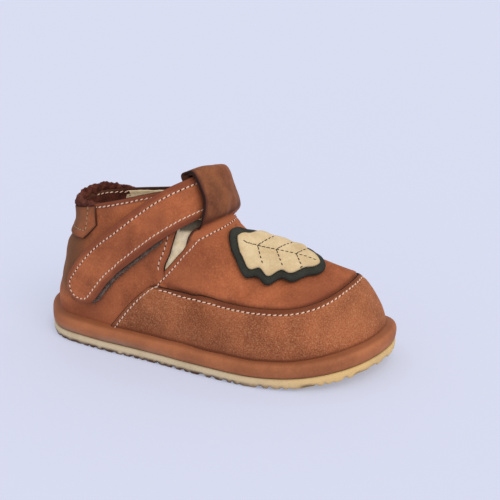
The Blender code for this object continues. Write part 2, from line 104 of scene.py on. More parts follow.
def smooth(knots, values, at):
    """Cubic curve through the rows of a table, read at any place."""
    knots = np.asarray(knots, float)
    values = np.asarray(values, float)
    at = np.clip(np.asarray(at, float), knots[0], knots[-1])
    slopes = np.gradient(values, knots, axis=0)
    row = np.clip(np.searchsorted(knots, at, side="right") - 1, 0, len(knots) - 2)
    step = knots[row + 1] - knots[row]
    share = (at - knots[row]) / step
    if values.ndim > 1:
        step, share = step[..., None], share[..., None]
    ease = 3 * share**2 - 2 * share**3
    leave = (share**3 - 2 * share**2 + share) * step * slopes[row]
    arrive = (share**3 - share**2) * step * slopes[row + 1]
    return (1 - ease) * values[row] + ease * values[row + 1] + leave + arrive


def column(table, number):
    return [row[number] for row in table]


def read(table, at, number=1):
    """A column of a table, as a smooth curve over its first column."""
    return smooth(column(table, 0), column(table, number), at)


def evenly(count):
    return np.linspace(0.0, 1.0, count)


def places_up(on_wall, above, top=2.0):
    """Places up the last: some on the wall (0 to 1), then on to the top."""
    return np.concatenate([evenly(on_wall), np.linspace(1.0, top, above)[1:]])


def unit(vectors):
    return vectors / np.maximum(np.linalg.norm(vectors, axis=-1, keepdims=True), 1e-9)


def ramp(low, high, value):
    """0 below low, 1 above high, with soft ends."""
    share = np.clip((np.asarray(value, float) - low) / (high - low), 0.0, 1.0)
    return share * share * (3.0 - 2.0 * share)


def run_along(points):
    return np.concatenate([[0.0], np.cumsum(np.linalg.norm(np.diff(points, axis=0), axis=1))])


print("crest of the foot:", round(float(run_along(np.array(CREST))[-1])), "mm from the neck towards the toe")

# %% Plan of the sole
OUTLINE_STEPS = 1201


def trace_outline():
    """Plan of the sole as two sides, heel to toe, each row a point and its outward normal."""
    outer = [(share, -reach) for share, reach, _ in OUTLINE]
    inner = [(share, reach) for share, _, reach in OUTLINE]
    shares = [(0.0, 0.0)] + outer + [(1.0, TOE_TIP_Y)] + inner[::-1]
    knots = np.array([((share - 0.5) * SOLE_LENGTH, across) for share, across in shares])
    looped = np.concatenate([knots[-3:], knots, knots[:4]])
    places = np.concatenate([[0.0], np.cumsum(np.sqrt(np.linalg.norm(np.diff(looped, axis=0), axis=1)))])
    curve = smooth(places, looped, np.linspace(places[3], places[3 + len(knots)], OUTLINE_STEPS))
    tangent = unit(np.gradient(curve, axis=0))
    tangent[0] = tangent[-1] = unit(tangent[0] + tangent[-1])
    normal = np.stack([tangent[:, 1], -tangent[:, 0]], axis=1)
    normal *= np.sign((normal * (curve - curve.mean(axis=0))).sum())
    toe = np.argmax(curve[:, 0])
    rows = np.concatenate([curve, normal], axis=1)
    return {OUTER: rows[: toe + 1], INNER: rows[toe:][::-1]}


SIDES = trace_outline()
LENGTHS = {side: run_along(rows[:, :2]) / run_along(rows[:, :2])[-1] for side, rows in SIDES.items()}


def edge(side, place, inset):
    """Plan points at a share of the way from heel to toe along one side, moved in by the inset; and normals."""
    found = [np.interp(place, LENGTHS[side], SIDES[side][:, n]) for n in range(4)]
    normal = unit(np.stack(found[2:], axis=-1))
    return np.stack(found[:2], axis=-1) - normal * np.asarray(inset)[..., None], normal


def place_at(side, along):
    return float(np.interp(along, SIDES[side][:, 0], LENGTHS[side]))


def lift(along):
    """Toe spring."""
    reach = SOLE_LENGTH / 2 - SPRING_START
    return TOE_SPRING * np.clip((np.asarray(along) - SPRING_START) / reach, 0.0, 1.0) ** 2


print("outline", round(float(SIDES[OUTER][-1, 0] - SIDES[OUTER][0, 0]), 1), "mm long")

# %% [markdown]
# ## The last's surface
# The upper could be sculpted, but a rule keeps the panels in register: a side wall that leans in, quarters that
# go on up to the collar, and a front that arches over the foot and runs up into a neck below the loop. Every
# panel, seam and stitch row below is read from these three functions.

# %% Side wall and quarters
SEAM_FOOT_X, SEAM_TOP_X = -34.0, -12.5
WALL_BULGE, LEAN_POWER, OUTER_LEAN = 1.3, 1.6, 1.6
TOE_INSET, TOE_SET_BACK = 1.4, (46.0, 70.0)
QUARTER_BULGE, QUARTER_SPLIT, QUARTER_FRONT_BOW = 1.5, 0.45, 3.2
HEEL_LEAN, HEEL_LEAN_FROM, HEEL_LEAN_FADE = 2.1, 0.62, (0.15, 0.45)
DOME, NECK_DOME = 1.7, {OUTER: 2.9, INNER: 2.1}
NECK_BLEND_X, NECK_BLEND = 16.0, 12.0
TOE_BLEND_X, TOE_BLEND = 22.0, 22.0
RAY_SPACING, NECK_SHARE, CREST_NECK = 0.7, 0.2, 3
NECK_HALF, NECK_CURVE = 12.0, 2.5


def wall(side, place, share):
    """Side wall, from the platform (0) to its shoulder (1)."""
    set_back = ramp(*TOE_SET_BACK, edge(side, place, np.zeros_like(place))[0][..., 0])
    plan, normal = edge(side, place, UPPER_INSET + TOE_INSET * set_back)
    rise = read(WALL, plan[..., 0])
    lean = read(WALL, plan[..., 0], 2)
    if side == OUTER:
        lean = lean + OUTER_LEAN * ramp(45.0, 10.0, plan[..., 0])
    out = WALL_BULGE * (1.0 - set_back) * np.sin(np.pi * share) - lean * share**LEAN_POWER
    height = UPPER_BASE + lift(plan[..., 0]) + rise * share
    return np.concatenate([plan + normal * out[..., None], height[..., None]], axis=-1)


def seam_place(side, share):
    foot = place_at(side, SEAM_FOOT_X)
    return foot + (place_at(side, SEAM_TOP_X) - foot) * np.clip(share, 0.0, 1.0)


def quarter(side, around, up):
    """around: heel (0) to front edge (1); up: 0 to 1 wall, 1 to 2 collar."""
    low = np.clip(up, 0.0, 1.0)
    high = np.clip(up - 1.0, 0.0, 1.0)
    at_seam = around * seam_place(side, low)
    lapped = wall(side, at_seam, low)
    foot = wall(side, at_seam, np.zeros_like(low))
    rows = np.array([(x, side * reach, outer if side < 0 else inner) for x, reach, outer, inner in COLLAR])
    rim = smooth(evenly(len(rows)), rows, around)
    share = np.where(up < 1.0, low * QUARTER_SPLIT, QUARTER_SPLIT + (1.0 - QUARTER_SPLIT) * high)[..., None]
    normal = edge(side, at_seam, np.zeros_like(low))[1]
    bow = np.concatenate([normal * QUARTER_BULGE, np.zeros_like(normal[..., :1])], axis=-1)
    bow[..., 0] += QUARTER_FRONT_BOW * np.minimum(around, 1.0) ** 6
    free = foot + (rim - foot) * share + bow * 4.0 * share * (1.0 - share)
    top = np.clip((share - HEEL_LEAN_FROM) / (1.0 - HEEL_LEAN_FROM), 0.0, 1.0)
    hollow = HEEL_LEAN * 4.0 * top * (1.0 - top) * (1.0 - ramp(*HEEL_LEAN_FADE, around))[..., None]
    free[..., :2] -= normal * hollow
    shoulder = wall(side, at_seam, np.ones_like(low))
    above = shoulder + (rim - shoulder) * high[..., None] + bow * 4.0 * (high * (1.0 - high))[..., None]
    seamed = np.where((up < 1.0)[..., None], lapped, above)
    return free + (seamed - free) * (np.minimum(around, 1.0) ** 4)[..., None]


print("wall", round(float(wall(OUTER, np.array([0.5]), np.array([1.0]))[0, 2]), 1), "mm high half-way to the toe")

# %% Front, and grids on the last


def crest(side, around):
    """Plan of the line where the front's rays end: the top of the neck, then the crest towards the toe."""
    start, *rest = CREST[CREST_NECK:]
    reach = NECK_HALF * np.clip(1.0 - around / NECK_SHARE, 0.0, 1.0)
    neck = np.stack([start[0] - NECK_CURVE * (reach / NECK_HALF) ** 2, side * reach], axis=-1)
    rows = np.array([start, *rest])
    places = run_along(rows)
    along = np.clip((around - NECK_SHARE) / (1.0 - NECK_SHARE), 0.0, 1.0) ** RAY_SPACING
    ridge = smooth(places / places[-1], rows[:, :2], along)
    return np.where((around < NECK_SHARE)[..., None], neck, ridge)


SHOULDER = {side: wall(side, np.linspace(0.2, 0.98, 60), np.ones(60)) for side in BOTH}


def front_height(side, plan):
    """Height of the front as an arch across the shoe, squarer at the neck than at the toe."""
    x = plan[..., 0]
    reach = np.interp(x, SHOULDER[side][:, 0], SHOULDER[side][:, 1])
    low = np.interp(x, SHOULDER[side][:, 0], SHOULDER[side][:, 2])
    middle, tall = read(CREST, x), read(CREST, x, 2)
    power = DOME + (NECK_DOME[side] - DOME) * np.clip((NECK_BLEND_X - x) / NECK_BLEND, 0.0, 1.0)
    across = np.clip((plan[..., 1] - middle) / (reach - middle), 0.0, 1.0)
    return low + (tall - low) * (1.0 - across**power)


def front(side, around, up):
    """around: seam with the quarter (0) to toe (1); up: 0 to 1 wall, 1 to 2 plug."""
    low = np.clip(up, 0.0, 1.0)
    high = np.clip(up - 1.0, 0.0, 1.0)
    seam = seam_place(side, low)
    foot = wall(side, seam + (1.0 - seam) * around, low)
    top = crest(side, around)
    plan = foot[..., :2] + (top - foot[..., :2]) * high[..., None]
    ray = foot[..., 2] + (front_height(side, top) - foot[..., 2]) * (1.0 - (1.0 - high) ** DOME)
    arch = front_height(side, plan) + (foot[..., 2] - front_height(side, foot[..., :2])) * (1.0 - high) ** 4
    to_toe = ramp(TOE_BLEND_X, TOE_BLEND_X + TOE_BLEND, plan[..., 0])
    height = np.where(high > 0.0, arch + (ray - arch) * to_toe, foot[..., 2])
    return np.concatenate([plan, height[..., None]], axis=-1)


def patch(function, side, around, up):
    """A grid of points on one side; rows go up, columns go around."""
    around, up = np.meshgrid(np.asarray(around, float), np.asarray(up, float))
    return function(side, around, up)


HEEL, TOE = "heel", "toe"


def both_sides(function, around, up, meet):
    """A grid that goes right round: outer side, then the heel or the toe, then the inner side."""
    outer, inner = patch(function, OUTER, around, up), patch(function, INNER, around, up)
    if meet == TOE:
        return np.concatenate([outer, inner[:, -2::-1]], axis=1)
    return np.concatenate([outer[:, ::-1], inner[:, 1:]], axis=1)


print("heel height", round(float(quarter(OUTER, np.array([0.0]), np.array([2.0]))[0, 2]), 1), "mm")

# %% [markdown]
# ## From a surface to cut leather
# A Solidify modifier gives a sheet its thickness, but a cut edge of leather shows more than a square rim: it is
# slightly rounded, and where two plies are glued it has a groove. This helper lays an outer and an inner face
# along the surface's normals and joins them with an edge of any profile. It also stores each point's distance
# from the edge, which the materials use for rubbed and darkened borders.

# %% Points, faces and edges
# profiles of an edge: share of the thickness, and millimetres that it stands out
CUT_EDGE = [(0.25, 0.25), (0.75, 0.25)]
TWO_PLY_EDGE = [(0.12, 0.25), (0.40, 0.34), (0.50, 0.05), (0.60, 0.34), (0.88, 0.25)]
DOUBLES, UPSIDE_DOWN, FAR_AWAY = 0.02, -0.35, 99.0


def grid_faces(rows, columns, start=0, closed=False):
    across = np.arange(columns if closed else columns - 1)
    nxt = (across + 1) % columns
    low = start + np.arange(rows - 1)[:, None] * columns
    quads = np.stack([low + across, low + nxt, low + columns + nxt, low + columns + across], axis=-1)
    return quads.reshape(-1, 4).tolist()


def vertex_normals(points, table):
    """Normals of the points, averaged over a few faces so that they stay steady where a grid bunches up."""
    facing = np.cross(points[table[:, 2]] - points[table[:, 0]], points[table[:, 3]] - points[table[:, 1]])
    for _ in range(3):
        normal = np.zeros_like(points)
        for corner in range(4):
            np.add.at(normal, table[:, corner], facing)
        facing = normal[table].mean(axis=1)
    return unit(normal)


def merged(grids, closed=False):
    """Points and four-corner faces of one or more grids, with doubles joined and faces turned outwards."""
    shape = bmesh.new()
    for grid in grids:
        rows, columns = grid.shape[:2]
        verts = [shape.verts.new(point) for point in grid.reshape(-1, 3)]
        for face in grid_faces(rows, columns, 0, closed):
            shape.faces.new([verts[corner] for corner in face])
    bmesh.ops.remove_doubles(shape, verts=shape.verts, dist=DOUBLES)
    bmesh.ops.recalc_face_normals(shape, faces=shape.faces)
    facing = sum(face.calc_area() * face.normal.dot(face.calc_center_median()) for face in shape.faces)
    if facing < 0.0:
        bmesh.ops.reverse_faces(shape, faces=shape.faces)
    shape.verts.index_update()
    points = np.array([vert.co[:] for vert in shape.verts])
    faces = [[vert.index for vert in face.verts] for face in shape.faces]
    table = np.array([face + [face[-1]] * (4 - len(face)) for face in faces])
    border = []
    for rim in shape.edges:
        if len(rim.link_faces) == 1:
            loop = rim.link_loops[0]
            border.append((loop.vert.index, loop.link_loop_next.vert.index))
    shape.free()
    return points, faces, table, np.array(border).reshape(-1, 2)


print("a cut edge has", len(CUT_EDGE), "rows, a two-ply edge", len(TWO_PLY_EDGE))

# %% Objects, and sheets of leather


def placed(name, data):
    """A new object at the origin of the scene."""
    made = bpy.data.objects.new(name, data)
    bpy.context.scene.collection.objects.link(made)
    return made


def to_object(name, points, faces, covers, cover_of_face=None):
    """Mesh object from points in millimetres."""
    mesh = bpy.data.meshes.new(name)
    mesh.from_pydata((np.asarray(points) * MM).tolist(), [], faces)
    for cover in covers:
        mesh.materials.append(cover)
    if cover_of_face is not None:
        mesh.polygons.foreach_set("material_index", np.asarray(cover_of_face, np.int32))
    mesh.polygons.foreach_set("use_smooth", np.ones(len(mesh.polygons), bool))
    mesh.update()
    return placed(name, mesh)


def store(made, name, values):
    layer = made.data.attributes.new(name, "FLOAT", "POINT")
    layer.data.foreach_set("value", np.asarray(values, np.float32))


def border_distance(points, border_points):
    found = np.full(len(points), FAR_AWAY)
    for start in range(0, len(border_points), 64):
        away = points[:, None] - border_points[None, start:start + 64]
        found = np.minimum(found, np.sqrt((away**2).sum(axis=2)).min(axis=1))
    return found


def sheet(name, grids, proud, thick, covers, relief=None, profile=CUT_EDGE, closed=False, tone=None, upward=False):
    """Leather sheet: its outer face stands proud of the grids, and its edges have the given profile."""
    points, faces, table, border = merged(grids, closed)

    def facing():
        found = vertex_normals(points, table)
        return found * np.where(found[:, 2:] < UPSIDE_DOWN, -1.0, 1.0) if upward else found

    normal = facing()
    if relief is not None:
        points = points + normal * relief(points)[:, None]
        normal = facing()
    proud = proud(points) if callable(proud) else np.full(len(points), float(proud))
    outer = points + normal * proud[:, None]
    thick = thick(points) if callable(thick) else np.full(len(points), float(thick))
    inner = points + normal * (proud - thick)[:, None]
    away = np.zeros_like(points)
    side = np.cross(unit(points[border[:, 1]] - points[border[:, 0]]), normal[border[:, 0]])
    np.add.at(away, border[:, 0], side)
    np.add.at(away, border[:, 1], side)
    rim = np.unique(border)
    number = {int(old): place for place, old in enumerate(rim)}
    away = unit(away[rim])
    rows = [outer[rim] - normal[rim] * (thick[rim] * depth)[:, None] + away * push for depth, push in profile]
    total = len(points)
    first = 2 * total
    skirt = []
    for a, b in border.tolist():
        chain_a = [a] + [first + row * len(rim) + number[a] for row in range(len(rows))] + [total + a]
        chain_b = [b] + [first + row * len(rim) + number[b] for row in range(len(rows))] + [total + b]
        for row in range(len(chain_a) - 1):
            skirt.append([chain_b[row], chain_a[row], chain_a[row + 1], chain_b[row + 1]])
    back = [[total + corner for corner in face[::-1]] for face in faces]
    cover = [0] * len(faces) + [min(2, len(covers) - 1)] * len(back) + [1] * len(skirt)
    everything = np.concatenate([outer, inner, *rows])
    made = to_object(name, everything, faces + back + skirt, covers, cover)
    apart = border_distance(points, points[rim])
    store(made, "edge_mm", np.concatenate([apart, apart, np.zeros(len(rows) * len(rim))]))
    shade = np.zeros(len(everything)) if tone is None else tone(everything)
    store(made, "tone", shade)
    print(name, len(made.data.polygons), "faces")
    return made


print("sheets of", LEATHER, "mm leather and", LINING, "mm lining")

# %% [markdown]
# ## Creases
# Worn leather folds where the foot bends and pulls in along every seam. Cloth simulation would put creases
# where it likes; here they are listed where they are. Each crease is a short line in the shoe's own
# millimetres with a width and a depth, pressed in as a soft trough with a low ridge on either side. The small
# unevenness of each piece, and the places where it is rubbed or darkened, stand in two tables.

# %% Soft troughs, unevenness, wear and painted shadow
# size and depth in millimetres, and the place in the noise
UNEVEN = {
    "band": [(11.0, 0.22, 7.7), (4.0, 0.07, 1.3)], "insole": [(16.0, 0.25, 2.0)],
    "plug": [(15.0, 0.35, 4.2), (6.0, 0.12, 9.0)], "wall": [(17.0, 0.45, 6.1), (7.0, 0.16, 2.2)],
    "quarters": [(18.0, 0.5, 1.7), (7.0, 0.16, 8.0)], "lining": [(3.6, 0.35, 5.5), (1.7, 0.12, 0.4)],
    "heel lining": [(9.0, 0.25, 2.5)], "gusset": [(3.0, 0.7, 3.3), (1.5, 0.35, 7.1)],
    "strap": [(13.0, 0.35, 3.9), (5.0, 0.12, 6.5)], "strap tone": [(4.5, 0.35, 7.3)], "tape": [(3.0, 0.3, 2.2)],
    "loop": [(9.0, 0.4, 1.1), (4.0, 0.12, 3.0)], "tab": [(8.0, 0.3, 4.4)], "tab tone": [(5.0, 0.3, 2.7)],
    "rim": [(2.4, 0.75, 8.8), (1.0, 0.45, 2.9)], "rim tone": [(2.2, 0.9, 1.9)], "leaf": [(7.0, 0.2, 1.2)],
}
# tone, below 0 for darkened places and painted shadows, above 0 for rubbed; middle; radius
WEAR_AND_SHADE = {
    "insole": [(-0.6, (-48.0, 0.0, 13.0), 20.0), (-0.5, (36.0, 2.0, 13.0), 24.0)],
    # on the quarters both places are painted shadow: below the strap, and under its free end
    "quarters": [(-0.5, (-46.0, -22.0, 20.0), 12.0), (-0.35, (-14.0, -24.0, 44.0), 9.0)],
    "plug": [(-0.7, (54.0, -14.0, 38.0), 15.0)],
    "wall": [(-0.35, (12.0, -30.0, 22.0), 12.0), (-0.3, (-14.0, -28.0, 18.0), 9.0), (0.2, (66.0, -8.0, 26.0), 16.0),
             (0.25, (-12.0, -28.0, 24.0), 8.0), (-1.0, (66.5, -5.5, 21.5), 1.1)],
    "strap": [(-0.45, (-14.0, -20.0, 60.0), 7.0), (-0.35, (-30.0, -24.0, 50.0), 10.0)],
    "loop": [(0.3, (3.0, 4.0, 79.0), 8.0), (-0.3, (4.0, -9.0, 72.0), 5.0)],
}


def distance_to_line(points, line):
    """Distance from each point to a polyline."""
    line = np.asarray(line, float)
    found = np.full(len(points), 1e9)
    for start, end in zip(line[:-1], line[1:]):
        span = end - start
        share = np.clip(((points - start) @ span) / max(span @ span, 1e-9), 0.0, 1.0)
        found = np.minimum(found, np.linalg.norm(points - start - share[:, None] * span, axis=1))
    return found


def trough(points, line, width, depth, ridge=0.35):
    away = distance_to_line(points, line) / width
    return -depth * np.exp(-away**2) + ridge * depth * np.exp(-((away - 1.9) ** 2) / 0.6)


def ripple(points, size, depth, seed):
    """Gentle unevenness of hand-lasted leather."""
    moved = points / size + seed
    return depth * np.array([noise.noise(Vector(point)) for point in moved])


def uneven(points, piece):
    return sum(ripple(points, *row) for row in UNEVEN[piece])


def wear_and_shade(points, piece):
    """Tone of a piece's rubbed and darkened places and painted shadows, each fading out from its middle."""
    return sum(tone * np.exp(-(((points - np.array(middle)) / radius) ** 2).sum(axis=1))
               for tone, middle, radius in WEAR_AND_SHADE[piece])


print(len(UNEVEN), "entries of unevenness,", len(WEAR_AND_SHADE), "of wear")

# %% [markdown]
# ## Finishes
# Nubuck is leather sanded on its grain side: matt, with a short nap that catches the light as a pale bloom, and
# darker where fingers and folds have pressed it; the same stored tone also paints shade into grooves and creases and
# under the strap. Suede is the same on the flesh side, with a coarser nap. The leather round the platform is waxed, so
# it is smoother and shows scuffs. All of them come from one function of the colours and of the sizes of the grain in
# millimetres, so that the pieces differ only in numbers.

# %% One node helper and the colours


def linear(code):
    """Linear colour from an sRGB hex value."""
    parts = [int(code[start:start + 2], 16) / 255.0 for start in (1, 3, 5)]
    return tuple(part / 12.92 if part <= 0.04045 else ((part + 0.055) / 1.055) ** 2.4 for part in parts) + (1.0,)


def fill(tree, made, inputs):
    """Fill a node's inputs: a socket is linked, any other value is set."""
    for name, value in inputs.items():
        if isinstance(value, bpy.types.NodeSocket):
            tree.links.new(value, made.inputs[name])
        else:
            made.inputs[name].default_value = value


def node(tree, kind, inputs=None, **settings):
    """Add a node with its settings, and fill its inputs."""
    made = tree.nodes.new(kind)
    for name, value in settings.items():
        setattr(made, name, value)
    fill(tree, made, inputs or {})
    return made


def blank(name):
    made = bpy.data.materials.new(name)
    made.use_nodes = True
    return made, made.node_tree, made.node_tree.nodes["Principled BSDF"]


MIX_A, MIX_B, MIX_OUT = 6, 7, 2
BORDER_MM, FOLD_MM = 1.8, 0.5


def leather(name, body, shade, bloom, nap_mm, nap_depth_mm, blotch_mm=14.0, speckle=0.35, roughness=0.85,
            sheen=0.25, border=0.55, scuff_and_shade=None, coat=0.0):
    """Leather: body colour with darker blotches, a pale nap, dark borders, and a stored tone of wear and painted
    shade.
    """
    made, tree, shader = blank(name)
    place = node(tree, "ShaderNodeTexCoord").outputs["Object"]
    # A real nap is finer; it is drawn as coarse as it needs to show.
    cloud, nap = (
        node(tree, "ShaderNodeTexNoise", {
            "Vector": place, "Scale": 1.0 / (size * MM), "Detail": detail, "Roughness": rough}).outputs["Fac"]
        for size, detail, rough in ((blotch_mm, 5.0, 0.62), (nap_mm, 3.0, 0.7)))
    away, tone = (node(tree, "ShaderNodeAttribute", attribute_name=stored).outputs["Fac"]
                  for stored in ("edge_mm", "tone"))
    # what is read and the run of its values; the shares of the colour laid over, that colour, and how it eases
    layers = [
        (cloud, 0.40, 0.68, 0.0, 0.75, shade, "LINEAR"), (nap, 0.50, 0.72, 0.0, speckle, bloom, "LINEAR"),
        (nap, 0.48, 0.28, 0.0, speckle, shade, "LINEAR"), (away, 0.0, BORDER_MM, border, 0.0, shade, "SMOOTHSTEP"),
        (tone, 0.0, -1.0, 0.0, 0.9, shade, "LINEAR"), (tone, 0.0, 1.0, 0.0, 0.8, scuff_and_shade or bloom, "LINEAR"),
    ]
    colour = linear(body)
    for value, start, end, low, high, other, ease in layers:
        share = node(tree, "ShaderNodeMapRange", {
            "Value": value, "From Min": start, "From Max": end, "To Min": low, "To Max": high},
            interpolation_type=ease).outputs["Result"]
        colour = node(tree, "ShaderNodeMix", {0: share, MIX_A: colour, MIX_B: linear(other)},
                      data_type="RGBA").outputs[MIX_OUT]
    dull = node(tree, "ShaderNodeMapRange", {
        "Value": cloud, "From Min": 0.3, "From Max": 0.7, "To Min": roughness - 0.08, "To Max": roughness + 0.06})
    grain = node(tree, "ShaderNodeBump", {"Height": nap, "Distance": nap_depth_mm * MM, "Strength": 0.8})
    folds = node(tree, "ShaderNodeBump", {
        "Height": cloud, "Distance": FOLD_MM * MM, "Strength": 0.35, "Normal": grain.outputs["Normal"]})
    fill(tree, shader, {
        "Base Color": colour, "Roughness": dull.outputs["Result"], "Normal": folds.outputs["Normal"],
        "Sheen Weight": sheen, "Sheen Roughness": 0.5, "Sheen Tint": linear(bloom), "Specular IOR Level": 0.25,
        "Coat Weight": coat, "Coat Roughness": 0.55})
    return made


print("tan in linear light:", [round(part, 3) for part in linear("#B0633D")])

# %% Leathers
# Nubuck with a fine nap: smooth panels, matt, warm tan.
nubuck = leather("tan_nubuck", "#B0633D", "#7A3F29", "#C4855A", 0.7, 0.12, speckle=0.42, scuff_and_shade="#573C27")
# Suede: the same hide's flesh side, with a coarser nap that reads as specks.
suede = leather("tan_suede", "#A9623E", "#6A3620", "#C8926A", 0.55, 0.22, blotch_mm=18.0, speckle=0.75,
                roughness=0.93, sheen=0.3, scuff_and_shade="#B9764C")
# Waxed nubuck round the platform: smoother, with grey scuffs.
band_leather = leather("waxed_tan_leather", "#B06B44", "#80492D", "#C38D60", 0.7, 0.08, blotch_mm=20.0,
                       speckle=0.18, roughness=0.7, sheen=0.1, scuff_and_shade="#8A7566", coat=0.06)
# Pull-up leather of the loop: browner, smooth.
loop_leather = leather("brown_pull_up_leather", "#8A5232", "#52291B", "#A8764A", 0.8, 0.07, blotch_mm=9.0,
                       speckle=0.22, roughness=0.72, sheen=0.12, scuff_and_shade="#B0633D")
# Raw cut edges: dyed dark, and paler on the strap.
cut_edge = leather("dark_cut_edge", "#4A2A1C", "#2E1710", "#6B4330", 0.4, 0.12, speckle=0.4, sheen=0.0)
strap_edge = leather("strap_cut_edge", "#7A4A35", "#4B291C", "#A77358", 0.4, 0.12, speckle=0.4, sheen=0.0)
# Soft undyed lining leather: creamy, finely wrinkled; in the slits its top is painted near-black, as painted shade
# under the strap.
CREAM = ("#EAD8B8", "#CDB48C", "#F7ECD6", 1.6, 0.3, 7.0, 0.35, 0.8, 0.1, 0.15)
cream_leather = leather("cream_lining_leather", *CREAM)
shaded_gusset_leather = leather("cream_gusset_leather_painted_shade", *CREAM, scuff_and_shade="#1E0F0A")
# The leaf's leathers: a dry cream and a dull black.
leaf_leather = leather("cream_leaf_leather", "#D9C29A", "#BBA076", "#E9D8B8", 0.7, 0.12, blotch_mm=9.0,
                       speckle=0.35, roughness=0.85, sheen=0.1, border=0.2)
black_leather = leather("black_leather", "#34352F", "#1E1F1C", "#54554E", 0.6, 0.12, speckle=0.3, sheen=0.1,
                        border=0.3)
# Dark-brown lining split, napped and worn at the rim.
dark_leather = leather("dark_brown_lining", "#5E2E25", "#35170F", "#85503E", 0.7, 0.25, blotch_mm=5.0,
                       speckle=0.4, roughness=0.95, sheen=0.2, border=0.3)
print("finishes:", len(bpy.data.materials))

# %% [markdown]
# ## Rubber sole
# The sole is a thin moulded sheet, trimmed with a knife once it is glued on, so its lower edge shows the ends of
# the tread as small uneven notches. A texture could only paint them; here the tread is cut into the mesh, as
# wavy ribs that run right out to the edge.

# %% Cream rubber
SOLE_COLUMNS, TREAD_STEPS = 300, 90
RIB_PITCH, RIB_WAVE, RIB_SWING, TREAD_DEPTH = 4.4, 17.0, 1.6, 1.2


def sole_loft(profile, columns, top_steps, bottom_steps):
    """Closed body with the plan of the sole: side profile of (inset, height), flat above and below."""
    places = evenly(columns)
    sides = {}
    for side in BOTH:
        sides[side] = []
        for inset, height in profile:
            plan, _ = edge(side, places, np.full(columns, inset))
            sides[side].append(np.concatenate([plan, height + lift(plan[:, :1])], axis=1))

    def across(start, end, steps):
        return [start + (end - start) * share for share in evenly(steps)[1:-1]]

    rows = sides[OUTER] + across(sides[OUTER][-1], sides[INNER][-1], top_steps)
    rows += sides[INNER][::-1] + across(sides[INNER][0], sides[OUTER][0], bottom_steps)
    return np.array(rows).transpose(1, 0, 2)


def ribs(points):
    """1 in the grooves of the tread, 0 on its ribs; the grooves come and go, as on a worn sole."""
    wander = ripple(points, 7.0, 3.4, 3.1)
    phase = points[:, 0] + RIB_SWING * np.sin(2.0 * np.pi * points[:, 1] / RIB_WAVE) + wander
    cut = 0.5 + 0.5 * np.tanh(3.0 * (np.sin(2.0 * np.pi * phase / RIB_PITCH) - 0.35))
    return cut * np.clip(0.75 + ripple(points, 5.0, 1.3, 6.6), 0.1, 1.0)


# Moulded rubber: matt cream, yellower towards the toe, with flecks, smears, trodden-in dirt and a painted contact
# shadow along the lower edge.
rubber, tree, shader = blank("cream_moulded_rubber")
place = node(tree, "ShaderNodeTexCoord").outputs["Object"]
fleck, smear = (
    node(tree, "ShaderNodeTexNoise", {"Vector": place, "Scale": 1.0 / (size * MM), "Detail": detail}).outputs["Fac"]
    for size, detail in ((0.7, 2.0), (9.0, 4.0)))
toe, dirt_and_shade = (node(tree, "ShaderNodeAttribute", attribute_name=stored).outputs["Fac"] for stored in ("toe", "dirt_and_shade"))
flecks, smears = (
    node(tree, "ShaderNodeMapRange", {
        "Value": value, "From Min": start, "From Max": end, "To Min": 0.0, "To Max": most}).outputs["Result"]
    for value, start, end, most in ((fleck, 0.55, 0.8, 0.5), (smear, 0.5, 0.75, 0.35)))
colour = linear("#D2BF9E")
for share, other in ((toe, "#E1BD80"), (flecks, "#A48B62"), (smears, "#B7A07A"), (dirt_and_shade, "#4E2F1E")):
    colour = node(tree, "ShaderNodeMix", {0: share, MIX_A: colour, MIX_B: linear(other)},
                  data_type="RGBA").outputs[MIX_OUT]
pores = node(tree, "ShaderNodeBump", {"Height": fleck, "Distance": 0.1 * MM, "Strength": 0.6})
fill(tree, shader, {
    "Base Color": colour, "Normal": pores.outputs["Normal"], "Roughness": 0.72, "Specular IOR Level": 0.35})

# inset from the plan, and height
SOLE_PROFILE = [(1.0, 0.0), (0.55, 0.35), (0.35, 1.2), (0.25, 2.4), (0.3, 3.6), (0.45, 4.3), (0.9, 4.5)]
points, faces, _, _ = merged([sole_loft(SOLE_PROFILE, SOLE_COLUMNS, 6, TREAD_STEPS)], closed=True)
above = points[:, 2] - lift(points[:, 0])
groove = ribs(points) * (1.0 - ramp(0.3, 1.6, above))
points[:, 2] += TREAD_DEPTH * groove * (1.0 - ramp(0.2, 2.0, above))
outsole = to_object("outsole_rubber", points, faces, [rubber])
store(outsole, "toe", ramp(10.0, 70.0, points[:, 0]))
# Darker along the lower edge, fading out towards the lifted toe: trodden-in dirt and a painted contact shadow.
rim_dirt_and_shade = ramp(2.0, 1.0, above + ripple(points, 2.6, 0.8, 1.5)) * ramp(66.0, 10.0, points[:, 0])
store(outsole, "dirt_and_shade", np.clip(0.9 * groove + 0.5 * ramp(4.1, 4.5, above) + rim_dirt_and_shade, 0.0, 1.0))
print("outsole", len(points), "points")

# %% [markdown]
# ## Wrapped platform
# A strip of the upper's leather is sewn round the lasted upper and pulled down over a thin board. That leaves a
# soft bead below the crease, which is rubbed and greyed by wear. The bead is a profile carried round the plan, with
# the small unevenness of hand work.

